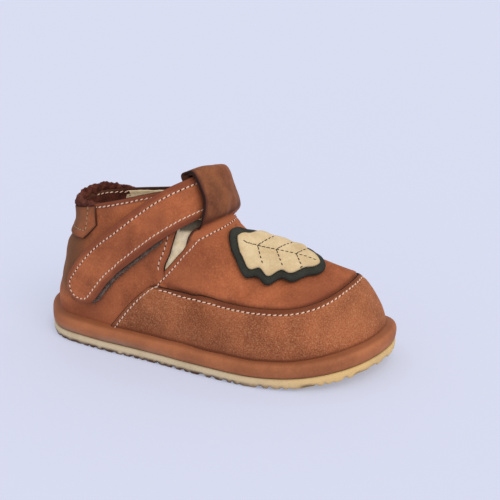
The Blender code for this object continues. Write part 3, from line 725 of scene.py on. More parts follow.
# %% Leather band
BAND_PROFILE = [
    (0.75, 4.75), (0.40, 5.1), (0.16, 5.9), (0.05, 7.0), (0.0, 8.0), (0.16, 9.0), (0.5, 9.8), (1.0, 10.4),
    (1.6, 10.8), (2.2, 11.0), (2.8, 11.2), (3.4, 11.5), (4.2, 11.7), (6.0, 11.7),
]
points, faces, table, _ = merged([sole_loft(BAND_PROFILE, 260, 6, 6)], closed=True)
normal = vertex_normals(points, table)
points += normal * uneven(points, "band")[:, None]
band = to_object("platform_band", points, faces, [band_leather])
above = points[:, 2] - lift(points[:, 0])
store(band, "edge_mm", np.minimum(above - 4.6, 11.0 - above) * 1.4 + 0.4)
scuffs = 0.75 * ramp(30.0, -60.0, points[:, 0]) * ramp(8.4, 5.6, above)
scuffs *= 0.65 + ripple(points, 13.0, 0.9, 5.0)
heel_shade = 0.6 * ramp(-46.0, -70.0, points[:, 0]) * ramp(6.0, 9.0, above)
# The top of the band darkens towards the crease with the wall: painted shade.
store(band, "tone", np.clip(scuffs, 0.0, 0.9) - 0.3 * ramp(9.6, 11.2, above) - heel_shade)
print("band", len(points), "points")

# %% [markdown]
# ## Footbed
# The footbed shows only from above: a thin sheet of lining leather on the board, dished a little by the foot and
# darker under the heel and the ball.

# %% Insole
INSOLE_TOP, INSOLE_INSET = 13.4, 6.4
INSOLE_PROFILE = [(INSOLE_INSET, 10.9), (INSOLE_INSET - 0.1, 12.4), (INSOLE_INSET + 0.5, 13.1), (7.4, INSOLE_TOP)]
points, faces, _, _ = merged([sole_loft(INSOLE_PROFILE, 120, 40, 6)], closed=True)
reach = border_distance(points[:, :2], np.concatenate([SIDES[OUTER][::8, :2], SIDES[INNER][::8, :2]]))
top = ramp(12.0, 13.3, points[:, 2] - lift(points[:, 0]))
points[:, 2] -= top * (0.9 * ramp(8.0, 22.0, reach) + uneven(points, "insole"))
insole = to_object("insole_leather", points, faces, [cream_leather])
store(insole, "edge_mm", reach - INSOLE_INSET + 0.6)
store(insole, "tone", wear_and_shade(points, "insole"))
print("insole", len(points), "points")

# %% [markdown]
# ## Panels of the upper
# Three panels make the upper: both quarters in one round the heel, the suede wall round the front, and the plug that
# goes over the toes and up into the neck. The wall lies on top of both neighbours, so it stands a leather's
# thickness proud, and its dark cut edge shows along the plug. Each panel goes on under its neighbour, as real ones
# do for sewing.

# %% Lines of the panels
PLY, TUCK, UNDER_TONGUE = 1.0, 0.12, 0.30
# how far the wall goes on past its stitched line: share of the way to the toe, and the reach
LIP = [(0.0, 0.03), (0.03, 0.045), (0.06, 0.06), (0.10, 0.08), (0.13, 0.087), (0.16, 0.077), (0.20, 0.056),
       (0.23, 0.049), (0.26, 0.051), (0.30, 0.053), (0.60, 0.054), (0.80, 0.068), (1.0, 0.10)]
# the stitched line round the wall: share of the way from the seam to the toe, and the place on the last
APRON = [(0.0, 0.82), (0.10, 0.87), (0.20, 0.975), (0.32, 1.01), (0.55, 1.02), (0.75, 1.0), (1.0, 1.0)]
# the rear edge of wall and plug: place up the last, and how far it reaches back (below 0) or forwards
REAR = [(0.0, -0.026), (0.2, -0.029), (0.4, -0.032), (0.6, -0.032), (0.8, -0.025), (0.9, -0.024), (1.0, -0.028),
        (1.05, -0.018), (1.1, -0.007), (1.15, 0.003), (1.2, 0.012), (1.3, 0.031), (1.4, 0.034), (1.5, 0.029),
        (1.6, 0.012), (1.74, -0.009), (2.0, -0.009)]
# the stitches along that edge, up to the throat: place up the last, and share of the way to the toe
REAR_ROW = [(0.02, -0.010), (0.2, -0.014), (0.4, -0.017), (0.6, -0.017), (0.8, -0.010), (0.9, -0.009),
            (1.0, -0.012), (1.05, 0.001), (1.1, 0.014), (1.163, 0.028), (1.247, 0.046), (1.317, 0.064),
            (1.425, 0.088), (1.494, 0.119)]
# the front edge of the quarter: place up the last, and share of the full width
QUARTER_FRONT = [(0.0, 1.07), (0.90, 1.05), (1.0, 1.0), (1.08, 0.972), (1.30, 0.977), (1.45, 0.985), (1.62, 1.0),
                 (2.0, 1.0)]


def apron_up(around):
    return read(APRON, around)


def from_rear(around, up):
    """Share of the way from the rear edge to the toe, as the front's own share."""
    start = read(REAR, up)
    return start + (1.0 - start) * around


def wall_panel(side, around, share):
    up = share * (apron_up(around) + read(LIP, around))
    return front(side, from_rear(around, up), up)


def plug_panel(side, around, share):
    start = apron_up(around) - TUCK
    end = 2.0 - UNDER_TONGUE * (1.0 - ramp(0.10, 0.25, around))
    up = start + (end - start) * share
    return front(side, from_rear(around, up), up)


def quarter_panel(side, around, up):
    return quarter(side, around * read(QUARTER_FRONT, up), up)


half_around = evenly(120)
APRON_LINE = {side: front(side, from_rear(half_around, apron_up(half_around)), apron_up(half_around))
              for side in BOTH}
print("apron line", round(float(run_along(APRON_LINE[OUTER])[-1])), "mm on the outer side")

# %% Quarters, wall and plug
FLEX_CREASES = [
    ([(18.0, -27.0, 27.0), (26.0, -17.0, 41.0), (27.0, -4.0, 47.0)], 2.6, 0.35),
    ([(33.0, -27.0, 27.0), (37.0, -18.0, 38.0), (39.0, -8.0, 43.0)], 2.2, 0.28),
    ([(19.0, 26.0, 27.0), (26.0, 17.0, 41.0), (28.0, 6.0, 47.0)], 2.6, 0.35),
]
HEEL_CREASES = [
    ([(-64.0, -10.0, 30.0), (-58.0, -17.0, 31.0), (-46.0, -22.0, 35.0)], 3.2, 0.45),
    ([(-60.0, -13.0, 46.0), (-50.0, -18.5, 47.0), (-40.0, -20.5, 50.0)], 2.6, 0.35),
    ([(-40.0, -24.0, 22.0), (-28.0, -25.5, 27.0), (-18.0, -26.0, 33.0)], 3.0, 0.35),
    ([(-64.0, 10.0, 34.0), (-55.0, 18.0, 36.0), (-42.0, 22.0, 40.0)], 3.0, 0.45),
    ([(-45.0, 22.0, 24.0), (-30.0, 24.0, 28.0), (-18.0, 24.0, 34.0)], 3.0, 0.35),
]


def from_apron(points):
    return np.minimum(distance_to_line(points, APRON_LINE[OUTER]), distance_to_line(points, APRON_LINE[INNER]))


def plug_relief(points):
    """The plug puffs up behind the wall's edge and is creased where the toes bend."""
    away = from_apron(points)
    lower = ramp(1.9, 4.0, away)
    puff = -0.6 + 1.65 * lower * np.exp(-np.maximum(away - 4.0, 0.0) / 7.0) + 0.6 * ramp(4.0, 18.0, away)
    puff *= ramp(-16.0, 0.0, points[:, 0])
    folds = sum(trough(points, *crease) for crease in FLEX_CREASES)
    return puff + folds + uneven(points, "plug")


def wall_relief(points):
    pulled = -0.4 * np.exp(-(from_apron(points) / 0.9) ** 2)
    return pulled + uneven(points, "wall")


def quarter_relief(points):
    x, _, z = points.T
    folds = sum(trough(points, *crease) for crease in HEEL_CREASES)
    counter = 0.9 * ramp(-52.0, -66.0, x) * np.exp(-((z - 16.0) / 5.0) ** 2)
    return folds + counter + uneven(points, "quarters")


def quarter_tone(points):
    x, y, z = points.T
    heel = ramp(-40.0, -70.0, x)
    strip = ramp(2.9, 2.0, read(COLLAR, x, 2) - z) * ramp(0.0, -6.0, y)
    base = ramp(20.0, 11.0, z) * ramp(-30.0, -60.0, x)
    # Olive and darker over the heel: worn leather, and painted shade where the heel faces away from the key light.
    olive_and_shade = ramp(-42.0, -60.0, x) * ramp(14.0, 26.0, z) * (1.15 - 0.6 * ramp(0.0, 16.0, y))
    return olive_and_shade - 1.0 * strip - 0.45 * base + wear_and_shade(points, "quarters") - 0.1 * heel


def plug_tone(points):
    # Dark along the wall's edge: painted shade in the groove under its lip. Darker up the neck: browner leather, and
    # painted shade under the loop.
    neck = ramp(12.0, 2.0, points[:, 0])
    return -1.0 * np.exp(-(from_apron(points) / 2.9) ** 2) - 0.3 * neck + wear_and_shade(points, "plug")


def wall_tone(points):
    x, _, z = points.T
    above = np.interp(x, APRON_LINE[OUTER][:, 0], APRON_LINE[OUTER][:, 2])
    lip = -0.95 * ramp(0.2, 1.0, from_apron(points)) * ramp(0.1, 0.9, z - above)
    above_sole = z - lift(x)
    # Darker towards the band and darkest at the crease under the band's top: painted shade.
    low = -0.3 * ramp(16.0, 11.5, above_sole) - 0.6 * ramp(12.8, 12.0, above_sole)
    return lip + low + wear_and_shade(points, "wall")


up_rows = places_up(28, 44)
quarters = sheet("quarters_nubuck", [both_sides(quarter_panel, evenly(120), up_rows, HEEL)], 0.0,
                 LEATHER, [nubuck, cut_edge], quarter_relief, tone=quarter_tone)
wall_piece = sheet("wall_suede", [both_sides(wall_panel, evenly(150), evenly(32), TOE)],
                   PLY, LEATHER, [suede, cut_edge], wall_relief, tone=wall_tone)
plug_rows = evenly(56) ** 1.1
plug = sheet("plug_nubuck", [both_sides(plug_panel, evenly(150), plug_rows, TOE)], 0.0, LEATHER,
             [nubuck, cut_edge], plug_relief, tone=plug_tone, upward=True)

# %% [markdown]
# ## Lining
# Inside, soft undyed leather lines the front and the sides, and a dark-brown piece lines the heel. Between the
# quarter's front edge and the plug there is a slit on each side, and the lining bridges it, so cream leather shows
# there with the small wrinkles of a loose skin. The linings are thin sheets laid under the outer leather.

# %% Linings and gussets
HEEL_LINING, GUSSET_STEPS = 0.42, 50
lining_rows = places_up(14, 30, 1.965)
heel_lining = sheet("heel_lining", [both_sides(quarter, np.linspace(0.0, HEEL_LINING, 40), lining_rows, HEEL)],
                    -LEATHER - 0.1, LINING, [dark_leather, dark_leather],
                    lambda points: uneven(points, "heel lining"))
side_around = np.linspace(HEEL_LINING - 0.02, 1.0, 60)
front_rows = places_up(14, 30)


def lining_front(side, around, up):
    """The front's lining: it closes along the crest, but stops short of the neck."""
    top = 1.45 + 0.55 * ramp(0.10, 0.34, around)
    return front(side, 0.03 + 0.97 * around, np.where(up < 1.0, up, 1.0 + (up - 1.0) * (top - 1.0)))


def lining_depth(points):
    return -LEATHER - 0.15 - 0.9 * ramp(-16.0, -6.0, points[:, 0])


front_lining = sheet(
    "front_lining",
    [patch(quarter, OUTER, side_around, lining_rows), patch(quarter, INNER, side_around, lining_rows),
     both_sides(lining_front, evenly(60), front_rows, TOE)],
    lining_depth, LINING, [cream_leather, cream_leather],
    lambda points: uneven(points, "lining"))


def gusset_relief(points):
    """The wrinkles of a loose skin, drawn flat towards the top."""
    loose = 1.0 - 0.85 * ramp(51.0, 55.0, points[:, 2])
    return loose * uneven(points, "gusset") - 0.3


gussets = []
for side, word in ((OUTER, "outer"), (INNER, "inner")):
    rise = np.linspace(0.98, 1.84, GUSSET_STEPS)
    back, fore = quarter(side, np.full(GUSSET_STEPS, 0.93), rise), front(side, np.full(GUSSET_STEPS, 0.06), rise)
    bridge = back[:, None] + (fore - back)[:, None] * evenly(GUSSET_STEPS)[None, :, None]
    # Each gusset's top is painted near-black: painted shade under the strap and the loop.
    gussets.append(sheet(f"gusset_{word}", [bridge], -0.7, LINING, [shaded_gusset_leather, cream_leather, cream_leather],
                         gusset_relief, tone=lambda points: 1.25 * ramp(55.0, 57.0, points[:, 2])))

# %% [markdown]
# ## Strap
# The strap is two plies of nubuck, glued and sewn all round, with a round free end. It starts on the inner side, goes
# through the loop and comes down the outer side to the heel. It is laid over the upper point by point, so that it
# follows the foot and never sinks into it. Its edges are rolled a little by use.

# %% Middle line of the strap, and how it is laid
STRAP_WIDTH, STRAP_THICK, STRAP_END, STRAP_CLEAR, STRAP_CUT = 14.6, 2.2, 8.0, 0.9, 4.0
PAD_THICK, PAD_START, PAD_END = 1.8, 3.0, 58.0
LOOP_HALF = 12.5
shell_rows = places_up(10, 16)
body_points, body_faces, _, _ = merged([
    both_sides(quarter, evenly(40), shell_rows, HEEL),
    both_sides(front, evenly(50), shell_rows, TOE)])
BODY = BVHTree.FromPolygons(body_points.tolist(), body_faces)


def strap_frame():
    """Middle line of the strap with its facing and its width direction, and the run from the front."""
    knots = np.array([row[:3] for row in STRAP])
    places = run_along(knots)
    fine = np.linspace(0.0, places[-1], 400)
    line = smooth(places, knots, fine)
    turn, tilt = (np.radians(smooth(places, column(STRAP, number), fine)) for number in (3, 4))
    facing = np.stack([np.cos(tilt) * np.cos(turn), np.cos(tilt) * np.sin(turn), np.sin(tilt)], axis=1)
    tangent = unit(np.gradient(line, fine, axis=0))
    down = unit(np.cross(tangent, facing))
    down *= -np.sign(down[:, 2:3])
    facing = np.cross(tangent, down)
    facing *= np.sign((facing * (line - ANKLE)).sum())
    run = run_along(line)
    return run - np.interp(0.0, line[:, 1], run), line, facing, down


RUN, LINE, FACING, DOWN = strap_frame()
FREE_END = RUN[0] + STRAP_CUT


def on_strap(run):
    parts = [np.stack([np.interp(run, RUN, rows[:, n]) for n in range(3)], axis=-1) for rows in (LINE, FACING, DOWN)]
    return parts[0], unit(parts[1]), unit(parts[2])


def lay_clear(points, facing, clear):
    """Move points out along their facing until they stand clear of the upper; past its edges they stay."""
    out = np.array(points)
    for index in range(len(out)):
        for _ in range(6):
            near, normal, _, _ = BODY.find_nearest(out[index])
            away = out[index] - np.array(near)
            square = np.dot(away, np.array(normal))
            beside = np.linalg.norm(away - square * np.array(normal))
            if beside > 1.0 or square >= clear[index] - 0.02:
                break
            out[index] += facing[index] * (clear[index] - square)
    return out


def ribbon(runs, half, shares, below, clear):
    """Sheet along the strap at a depth below its middle, laid clear of the upper outside the loop."""
    middle, facing, down = on_strap(runs)
    grid = middle[:, None] + down[:, None] * (half[:, None] * shares)[..., None] - facing[:, None] * below
    flat, out = grid.reshape(-1, 3), np.repeat(facing, len(shares), axis=0)
    free = np.repeat(np.abs(runs) > LOOP_HALF + 2.0, len(shares))
    flat[free] = lay_clear(flat[free], out[free], np.repeat(clear, len(shares))[free])
    return flat.reshape(grid.shape)


print("strap line", round(float(RUN[-1] - RUN[0])), "mm long")

# %% Strap with rolled edges
round_end = FREE_END + STRAP_END * (1.0 - np.cos(np.linspace(0.0, np.pi / 2, 16)))[:-1]
runs = np.concatenate([round_end, np.linspace(FREE_END + STRAP_END, RUN[-1], 150)])
end = np.clip((runs - FREE_END) / STRAP_END, 0.0, 1.0)
half = STRAP_WIDTH / 2 * np.sqrt(np.clip(1.0 - (1.0 - end) ** 2, 0.01, 1.0))
padded = 1.0 - ramp(PAD_END - 14.0, PAD_END, runs - FREE_END)
rolled_edge = np.array([0.8, 0.88, 0.93, 0.97, 1.0])
rolled = np.concatenate([-rolled_edge[::-1], np.linspace(-0.66, 0.66, 9), rolled_edge])
strap_under = ribbon(runs, half, rolled, STRAP_THICK / 2, STRAP_CLEAR + PAD_THICK * padded)
strap_rim = np.concatenate([strap_under[:, 0], strap_under[::-1, -1]])


def strap_relief(points):
    edge_roll = -0.75 * (1.0 - ramp(0.0, 1.3, distance_to_line(points, strap_rim)))
    return edge_roll + uneven(points, "strap")


def strap_tone(points):
    """Darker borders; the distance is from the rim of the underside, so it takes in the strap's thickness."""
    border = -0.85 * ramp(2.8, 2.1, distance_to_line(points, strap_rim))
    return border + wear_and_shade(points, "strap") + uneven(points, "strap tone")


strap = sheet("strap_nubuck", [strap_under], STRAP_THICK, STRAP_THICK, [nubuck, strap_edge], strap_relief,
              TWO_PLY_EDGE, tone=strap_tone)

# %% [markdown]
# ## Hook-and-loop pad
# A patch of grey-brown tape holds the strap's end to the quarter; its fuzzy edge shows below the strap. The tape is a
# sheet, and Geometry Nodes scatter short bent fibres over it with a fixed seed, because thousands of small things
# that follow a surface are what nodes are for.

# %% Tape
# Tape: grey-brown and fuzzy, nearly black where the fibres part and in its painted shadow under the strap.
fuzz = leather("grey_brown_tape", "#A08B7B", "#40281F", "#D6C8BB", 0.5, 0.3, blotch_mm=2.4, speckle=0.7, sheen=0.3)
pad_runs = np.linspace(FREE_END + PAD_START, FREE_END + PAD_END - 6.0, 80)
pad_half = np.interp(pad_runs, runs, half)
pad_under = ribbon(pad_runs, pad_half, np.linspace(-0.9, 1.2, 15), STRAP_THICK / 2 + PAD_THICK + 0.3,
                   np.full(80, 0.35))


def pad_tone(points):
    """Painted shadow: dark under the strap's lower edge, and along the tape's lower edge."""
    shadow = ramp(1.7, 0.7, distance_to_line(points, strap_under[:, -1]))
    return -1.0 * shadow - 0.5 * ramp(0.9, 0.3, distance_to_line(points, pad_under[:, -1]))


pad = sheet("fastening_tape", [pad_under], 1.3, 1.3, [fuzz, fuzz], lambda points: uneven(points, "tape"),
            tone=pad_tone)

# %% Geometry Nodes: fibres of the tape


def tree_with(name, sockets):
    """Empty Geometry Nodes tree with a geometry input, named inputs and a geometry output."""
    tree = bpy.data.node_groups.new(name, "GeometryNodeTree")
    tree.interface.new_socket("Geometry", in_out="INPUT", socket_type="NodeSocketGeometry")
    for label, kind in sockets:
        tree.interface.new_socket(label, in_out="INPUT", socket_type=kind)
    tree.interface.new_socket("Geometry", in_out="OUTPUT", socket_type="NodeSocketGeometry")
    return tree, tree.nodes.new("NodeGroupInput"), tree.nodes.new("NodeGroupOutput")


def grown(name, source, tree, values):
    """Run a tree on an object and keep the result as a plain mesh object; the source stays as it was."""
    nodes = source.modifiers.new(tree.name, "NODES")
    nodes.node_group = tree
    for item in tree.interface.items_tree:
        if item.in_out == "INPUT" and item.name in values:
            nodes[item.identifier] = values[item.name]
    bpy.context.view_layer.update()
    view = bpy.context.evaluated_depsgraph_get()
    mesh = bpy.data.meshes.new_from_object(source.evaluated_get(view))
    source.modifiers.remove(nodes)
    made = placed(name, mesh)
    mesh.polygons.foreach_set("use_smooth", np.ones(len(mesh.polygons), bool))
    print(name, len(mesh.polygons), "faces")
    return made


fibre_tree, given, result = tree_with("tape_fibres", [
    ("Density", "NodeSocketFloat"), ("Length", "NodeSocketFloat"), ("Thickness", "NodeSocketFloat"),
    ("Fibre", "NodeSocketMaterial")])
scatter = node(fibre_tree, "GeometryNodeDistributePointsOnFaces", {
    "Mesh": given.outputs["Geometry"], "Density": given.outputs["Density"], "Seed": 4})
fibre = node(fibre_tree, "GeometryNodeMeshCone", {
    "Vertices": 4, "Side Segments": 1, "Radius Top": 0.0, "Radius Bottom": given.outputs["Thickness"],
    "Depth": given.outputs["Length"]})
lean = node(fibre_tree, "FunctionNodeRandomValue", {0: (-1.1, -1.1, 0.0), 1: (1.1, 1.1, 6.3), "Seed": 9},
            data_type="FLOAT_VECTOR")
turned = node(fibre_tree, "FunctionNodeRotateRotation", {
    "Rotation": scatter.outputs["Rotation"], "Rotate By": lean.outputs[0]}, rotation_space="LOCAL")
planted = node(fibre_tree, "GeometryNodeInstanceOnPoints", {
    "Points": scatter.outputs["Points"], "Instance": fibre.outputs["Mesh"], "Rotation": turned.outputs["Rotation"]})
solid = node(fibre_tree, "GeometryNodeRealizeInstances", {"Geometry": planted.outputs["Instances"]})
dyed = node(fibre_tree, "GeometryNodeSetMaterial", {
    "Geometry": solid.outputs["Geometry"], "Material": given.outputs["Fibre"]})
fibre_tree.links.new(dyed.outputs["Geometry"], result.inputs["Geometry"])
# Real fibres are finer and stand closer; these are as coarse as they need to show.
fibres = grown("tape_fibres", pad, fibre_tree, {
    "Density": 1.6 / MM**2, "Length": 1.5 * MM, "Thickness": 0.13 * MM, "Fibre": fuzz})

# %% [markdown]
# ## Loop
# A tongue is sewn to the plug across the throat. It goes on upwards, folds over the strap and is sewn down behind, and
# that fold is the loop. The leather is browner there, from hands. It tucks in below the strap, and its near end
# stands open and shows two plies with dark edges. So the loop is one sheet, led from the throat up the neck, over
# the strap and down behind it.

# %% Line of the loop over the strap
LOOP_TALL, LOOP_FRONT, LOOP_BACK, LOOP_WALL, PARED = 10.8, 4.4, 3.5, 2.1, 0.7
LOOP_FLARE, LOOP_SLIM, LOOP_DIP = 4.2, 2.0, 1.7
FRONT_ROUND, BACK_ROUND = 0.68, 0.5
LOOP_COLUMNS = 60
loop_share = evenly(LOOP_COLUMNS)
open_end = 1.0 - ramp(0.0, 0.55, loop_share)
centre = 1.0 - np.abs(2.0 * loop_share - 1.0)
# lower border of the tongue: share of the way from its side to the crest, share of the way to the toe, place up
TONGUE = [(0.0, 0.031, 1.36), (0.2, 0.105, 1.40), (0.4, 0.14, 1.465), (0.6, 0.175, 1.555), (0.75, 0.225, 1.66),
          (0.9, 0.245, 1.86), (1.0, 0.25, 1.99)]
tongue_low = smooth(column(TONGUE, 0), [row[1:] for row in TONGUE], centre)
tongue_top = np.stack([0.2 * centre, 1.72 + 0.28 * ramp(0.0, 0.4, centre)], axis=1)


def on_neck(place):
    """Points on the neck from rows of a share of the way to the toe and a place up the last."""
    near, far = (front(side, place[:, 0], place[:, 1]) for side in BOTH)
    return np.where((loop_share < 0.5)[:, None], near, far)


def loop_ring(angle):
    """Places round the strap at one angle: 0 is its lower edge, a quarter turn is the front, half a turn the top."""
    behind = ramp(3.4, 4.4, angle)
    front_side = np.sin(angle) > 0
    power = FRONT_ROUND if front_side else BACK_ROUND
    tall = np.sign(np.cos(angle)) * abs(np.cos(angle)) ** power
    high = tall < 0
    flare = LOOP_FLARE * max(tall, 0.0) ** 1.6 * (1.0 - behind) + 2.6 * behind
    run = -LOOP_HALF + 2.0 * LOOP_HALF * loop_share - flare * (1.0 - loop_share) ** 2
    middle, facing, down = on_strap(run)
    front_deep = LOOP_FRONT + 0.7 * open_end - LOOP_SLIM * ramp(0.3, 1.0, loop_share)
    deep = (front_deep if front_side else LOOP_BACK + 0.4 * open_end) * abs(np.sin(angle)) ** power
    dip = LOOP_DIP * ramp(0.2, 0.6, loop_share) + 1.4 * ramp(0.5, 1.0, loop_share)
    tall = (LOOP_TALL - dip * high) * tall - 3.0 * behind * open_end
    deep = np.sign(np.sin(angle)) * deep
    return middle + down * tall[:, None] + facing * deep[:, None]


FOLD_START, FOLD_END, FOLD_HANDLE = 0.25, 5.6, 1.5
rows = [on_neck(tongue_low + (tongue_top - tongue_low) * share) for share in evenly(18)]
throat, neck, climb = rows[0], rows[-1], unit(rows[-1] - rows[-2])
rise = loop_ring(FOLD_START)
below = unit(rise - loop_ring(FOLD_START + 0.2))
for share in evenly(14)[1:-1]:
    rows.append(neck * (1 - share) ** 3 + (neck + climb * FOLD_HANDLE) * 3 * share * (1 - share) ** 2
                + (rise + below * FOLD_HANDLE) * 3 * share**2 * (1 - share) + rise * share**3)
rows += [loop_ring(angle) for angle in np.linspace(FOLD_START, FOLD_END, 74)]
belt = np.array(rows)
print("belt of the loop", belt.shape[0], "by", belt.shape[1], "points")

# %% Loop as a sheet


def loop_relief(points):
    folds = trough(points, [(4.5, -9.0, 62.0), (7.5, -7.5, 70.0), (6.0, -7.0, 77.0)], 2.4, 0.35)
    folds += trough(points, [(8.0, -1.0, 62.0), (10.0, -0.5, 70.0), (8.0, 0.0, 77.0)], 2.0, 0.25)
    fold = folds + uneven(points, "loop")
    on_plug = ramp(60.5, 57.5, points[:, 2])
    return fold * (1.0 - on_plug) + plug_relief(points) * on_plug


def loop_tone(points):
    low = ramp(61.5, 58.5, points[:, 2])
    tuck_shade = -0.85 * np.exp(-((points[:, 2] - 61.3) / 1.9) ** 2)
    open_edge = ramp(1.1, 0.7, distance_to_line(points, belt[:, 0]))
    return 1.25 * low * (1.0 - open_edge) - 1.0 * open_edge + tuck_shade + wear_and_shade(points, "loop")


def loop_stand(points):
    """The tongue's border is pared thin, so that it lies flat on the plug."""
    return 0.75 * ramp(0.0, 3.0, distance_to_line(points, throat)) - 0.3


def loop_wall(points):
    """Two plies round the strap, pared to one where the leather turns sharply on to the plug."""
    return PARED + (LOOP_WALL - PARED) * ramp(61.0, 64.5, points[:, 2])


loop = sheet("loop_leather", [belt], loop_stand, loop_wall, [loop_leather, cut_edge], loop_relief, TWO_PLY_EDGE,
             tone=loop_tone)
loop_points = np.array([vert.co[:] for vert in loop.data.vertices]) / MM
rubbed = border_distance(loop_points, np.concatenate([belt[:, 0], belt[:, -1]]))
loop.data.attributes["edge_mm"].data.foreach_set("value", rubbed.astype(np.float32))

# %% [markdown]
# ## Heel tab and collar rim
# A tab of nubuck covers the back seam below the collar; its lower corners are cut off and its bottom edge stands away
# from the heel. Above it, the dark lining rolls out over a thin strip of foam as a soft, worn rim. The rim is
# a tube along the collar, made ragged by two sizes of noise, because a clean tube looks like a cable.

# %% Heel tab
TAB_TOP, TAB_LOW, TAB_DROP, TAB_THICK = 1.955, 1.54, 0.07, 1.0
TAB_REACH, TAB_TAPER, TAB_CORNER, TAB_RISE = 0.49, 0.04, 0.15, 0.20


def round_heel(spread, reach, up):
    """Points round the heel, from the outer side (-1) to the inner side (1), at places up the quarter."""
    outer, inner = (quarter(side, np.abs(spread) * reach, up) for side in BOTH)
    return np.where((spread < 0)[:, None], outer, inner)


def to_ankle(points):
    """Level directions from points to the middle of the ankle."""
    return unit(np.concatenate([ANKLE[:2] - points[:, :2], np.zeros((len(points), 1))], axis=1))


spread = np.linspace(-1.0, 1.0, 81)
cut_corner = np.clip((np.abs(spread) - 1.0 + TAB_CORNER) / TAB_CORNER, 0.0, 1.0)
lower = TAB_LOW - TAB_DROP * np.minimum(np.abs(spread) / (1.0 - TAB_CORNER), 1.0) + TAB_RISE * cut_corner
tab_grid = []
for share in evenly(26):
    up = TAB_TOP + (lower - TAB_TOP) * share
    tab_grid.append(round_heel(spread, TAB_REACH - TAB_TAPER * (1.0 - share), up))
tab_grid = np.array(tab_grid)


def tab_stand(points):
    return 0.1 + TAB_THICK + 0.3 * ramp(50.0, 45.5, points[:, 2])


def tab_tone(points):
    # Olive-dark over the back of the heel, less at its outer edge: worn leather, and painted shade where the heel
    # faces away from the key light.
    y = points[:, 1]
    return 0.7 * ramp(-21.0, -13.0, y) - 0.4 * ramp(2.0, 14.0, y) + 0.25 + uneven(points, "tab tone")


tab = sheet("heel_tab_nubuck", [tab_grid], tab_stand, TAB_THICK, [nubuck, cut_edge],
            lambda points: uneven(points, "tab"), tone=tab_tone)

# %% Soft collar rim
ROLL_REACH, ROLL_COLUMNS = 0.47, 240
spread = np.linspace(-1.0, 1.0, ROLL_COLUMNS)
rim = round_heel(spread, ROLL_REACH, np.full(ROLL_COLUMNS, 2.0))
inwards = to_ankle(rim)
# height of the rim above the quarter: place round the collar, outer side first, and millimetres
RIM_TOP = [(-1.0, 0.8), (-0.64, 2.2), (-0.3, 3.0), (0.0, 3.7), (0.2, 4.1), (0.43, 4.0), (0.64, 2.8), (0.85, 1.6),
           (1.0, 0.8)]
RIM_FOOT = 1.4
rim_top = read(RIM_TOP, spread)
full = 1.0 + 0.6 * np.exp(-(((spread + 0.45) / 0.38) ** 2))
taper = (full * np.sqrt(np.clip(1.0 - np.abs(spread) ** 8, 0.0, 1.0)))[:, None]
rings = []
for angle in np.linspace(0.0, 2.0 * np.pi, 26, endpoint=False):
    side_step = inwards * (0.5 + 1.0 * np.cos(angle) * taper)
    stand = (rim_top - RIM_FOOT) / 2 + (rim_top + RIM_FOOT) / 2 * np.sin(angle) * (taper / full[:, None])[:, 0]
    up_step = np.array([0.0, 0.0, 1.0]) * stand[:, None]
    rings.append(rim + side_step + up_step)
points, faces, table, _ = merged([np.array(rings).transpose(1, 0, 2)], closed=True)
normal = vertex_normals(points, table)
points += normal * uneven(points, "rim")[:, None]
roll = to_object("collar_rim", points, faces, [dark_leather])
store(roll, "edge_mm", np.full(len(points), 5.0))
store(roll, "tone", uneven(points, "rim tone"))
print("collar rim", len(points), "points")

# %% [markdown]
# ## Leaf
# The plug carries a decoration of two layers: a plain lobed leaf in cream leather on a larger black one, whose edge
# stands off the plug. Both are draped over the front with the same outline and a border, and the veins are sewn.

# %% Two layers of a leaf
LEAF_X, LEAF_Y, LEAF_TURN, LEAF_LENGTH, LEAF_HALF = 29.5, -3.5, np.radians(10.0), 35.0, 9.6
LEAF_LOBES, LEAF_WAVE, LEAF_BORDER, LEAF_ROWS, LEAF_COLUMNS, SLOPE_STEP = 4, 0.12, 2.6, 130, 25, 1.5


def over_front(plan, clear):
    """Points over the front at a clearance from it, square to its slope."""
    def height(x, y):
        return BODY.ray_cast((x, y, 120.0), (0.0, 0.0, -1.0))[0][2]
    found = []
    for x, y in plan:
        slope_x = (height(x + SLOPE_STEP, y) - height(x - SLOPE_STEP, y)) / (2.0 * SLOPE_STEP)
        slope_y = (height(x, y + SLOPE_STEP) - height(x, y - SLOPE_STEP)) / (2.0 * SLOPE_STEP)
        found.append(np.array([x, y, height(x, y)]) + unit(np.array([-slope_x, -slope_y, 1.0])) * clear)
    return np.array(found)


def leaf_plan(forward, across):
    """Plan points from a place along the leaf's middle vein and a place across it."""
    x = LEAF_X + forward * np.cos(LEAF_TURN) - across * np.sin(LEAF_TURN)
    y = LEAF_Y + forward * np.sin(LEAF_TURN) + across * np.cos(LEAF_TURN)
    return np.stack([x, y], axis=-1)


def leaf_half(along, border):
    lobes = 1.0 + LEAF_WAVE * np.cos(2.0 * np.pi * LEAF_LOBES * along)
    half = LEAF_HALF * np.sin(np.pi * along) ** 0.7 * lobes
    return np.maximum(half + border * np.sin(np.pi * along) ** 0.3, 0.4)


def leaf_layer(name, border, clear, thick, covers):
    along = 0.5 - 0.5 * np.cos(np.linspace(0.0, np.pi, LEAF_ROWS))
    forward = (along - 0.5) * (LEAF_LENGTH + 2.0 * border)
    across = leaf_half(along, border)[:, None] * np.linspace(-1.0, 1.0, LEAF_COLUMNS)
    plan = leaf_plan(np.repeat(forward[:, None], LEAF_COLUMNS, axis=1), across)
    grid = over_front(plan.reshape(-1, 2), clear).reshape(LEAF_ROWS, LEAF_COLUMNS, 3)
    return sheet(name, [grid], thick, thick, covers, lambda points: uneven(points, "leaf"))


leaf_base = leaf_layer("leaf_black", LEAF_BORDER, 1.2, 1.8, [black_leather, black_leather])
leaf_top = leaf_layer("leaf_cream", 0.0, 3.1, 1.2, [leaf_leather, leaf_leather])

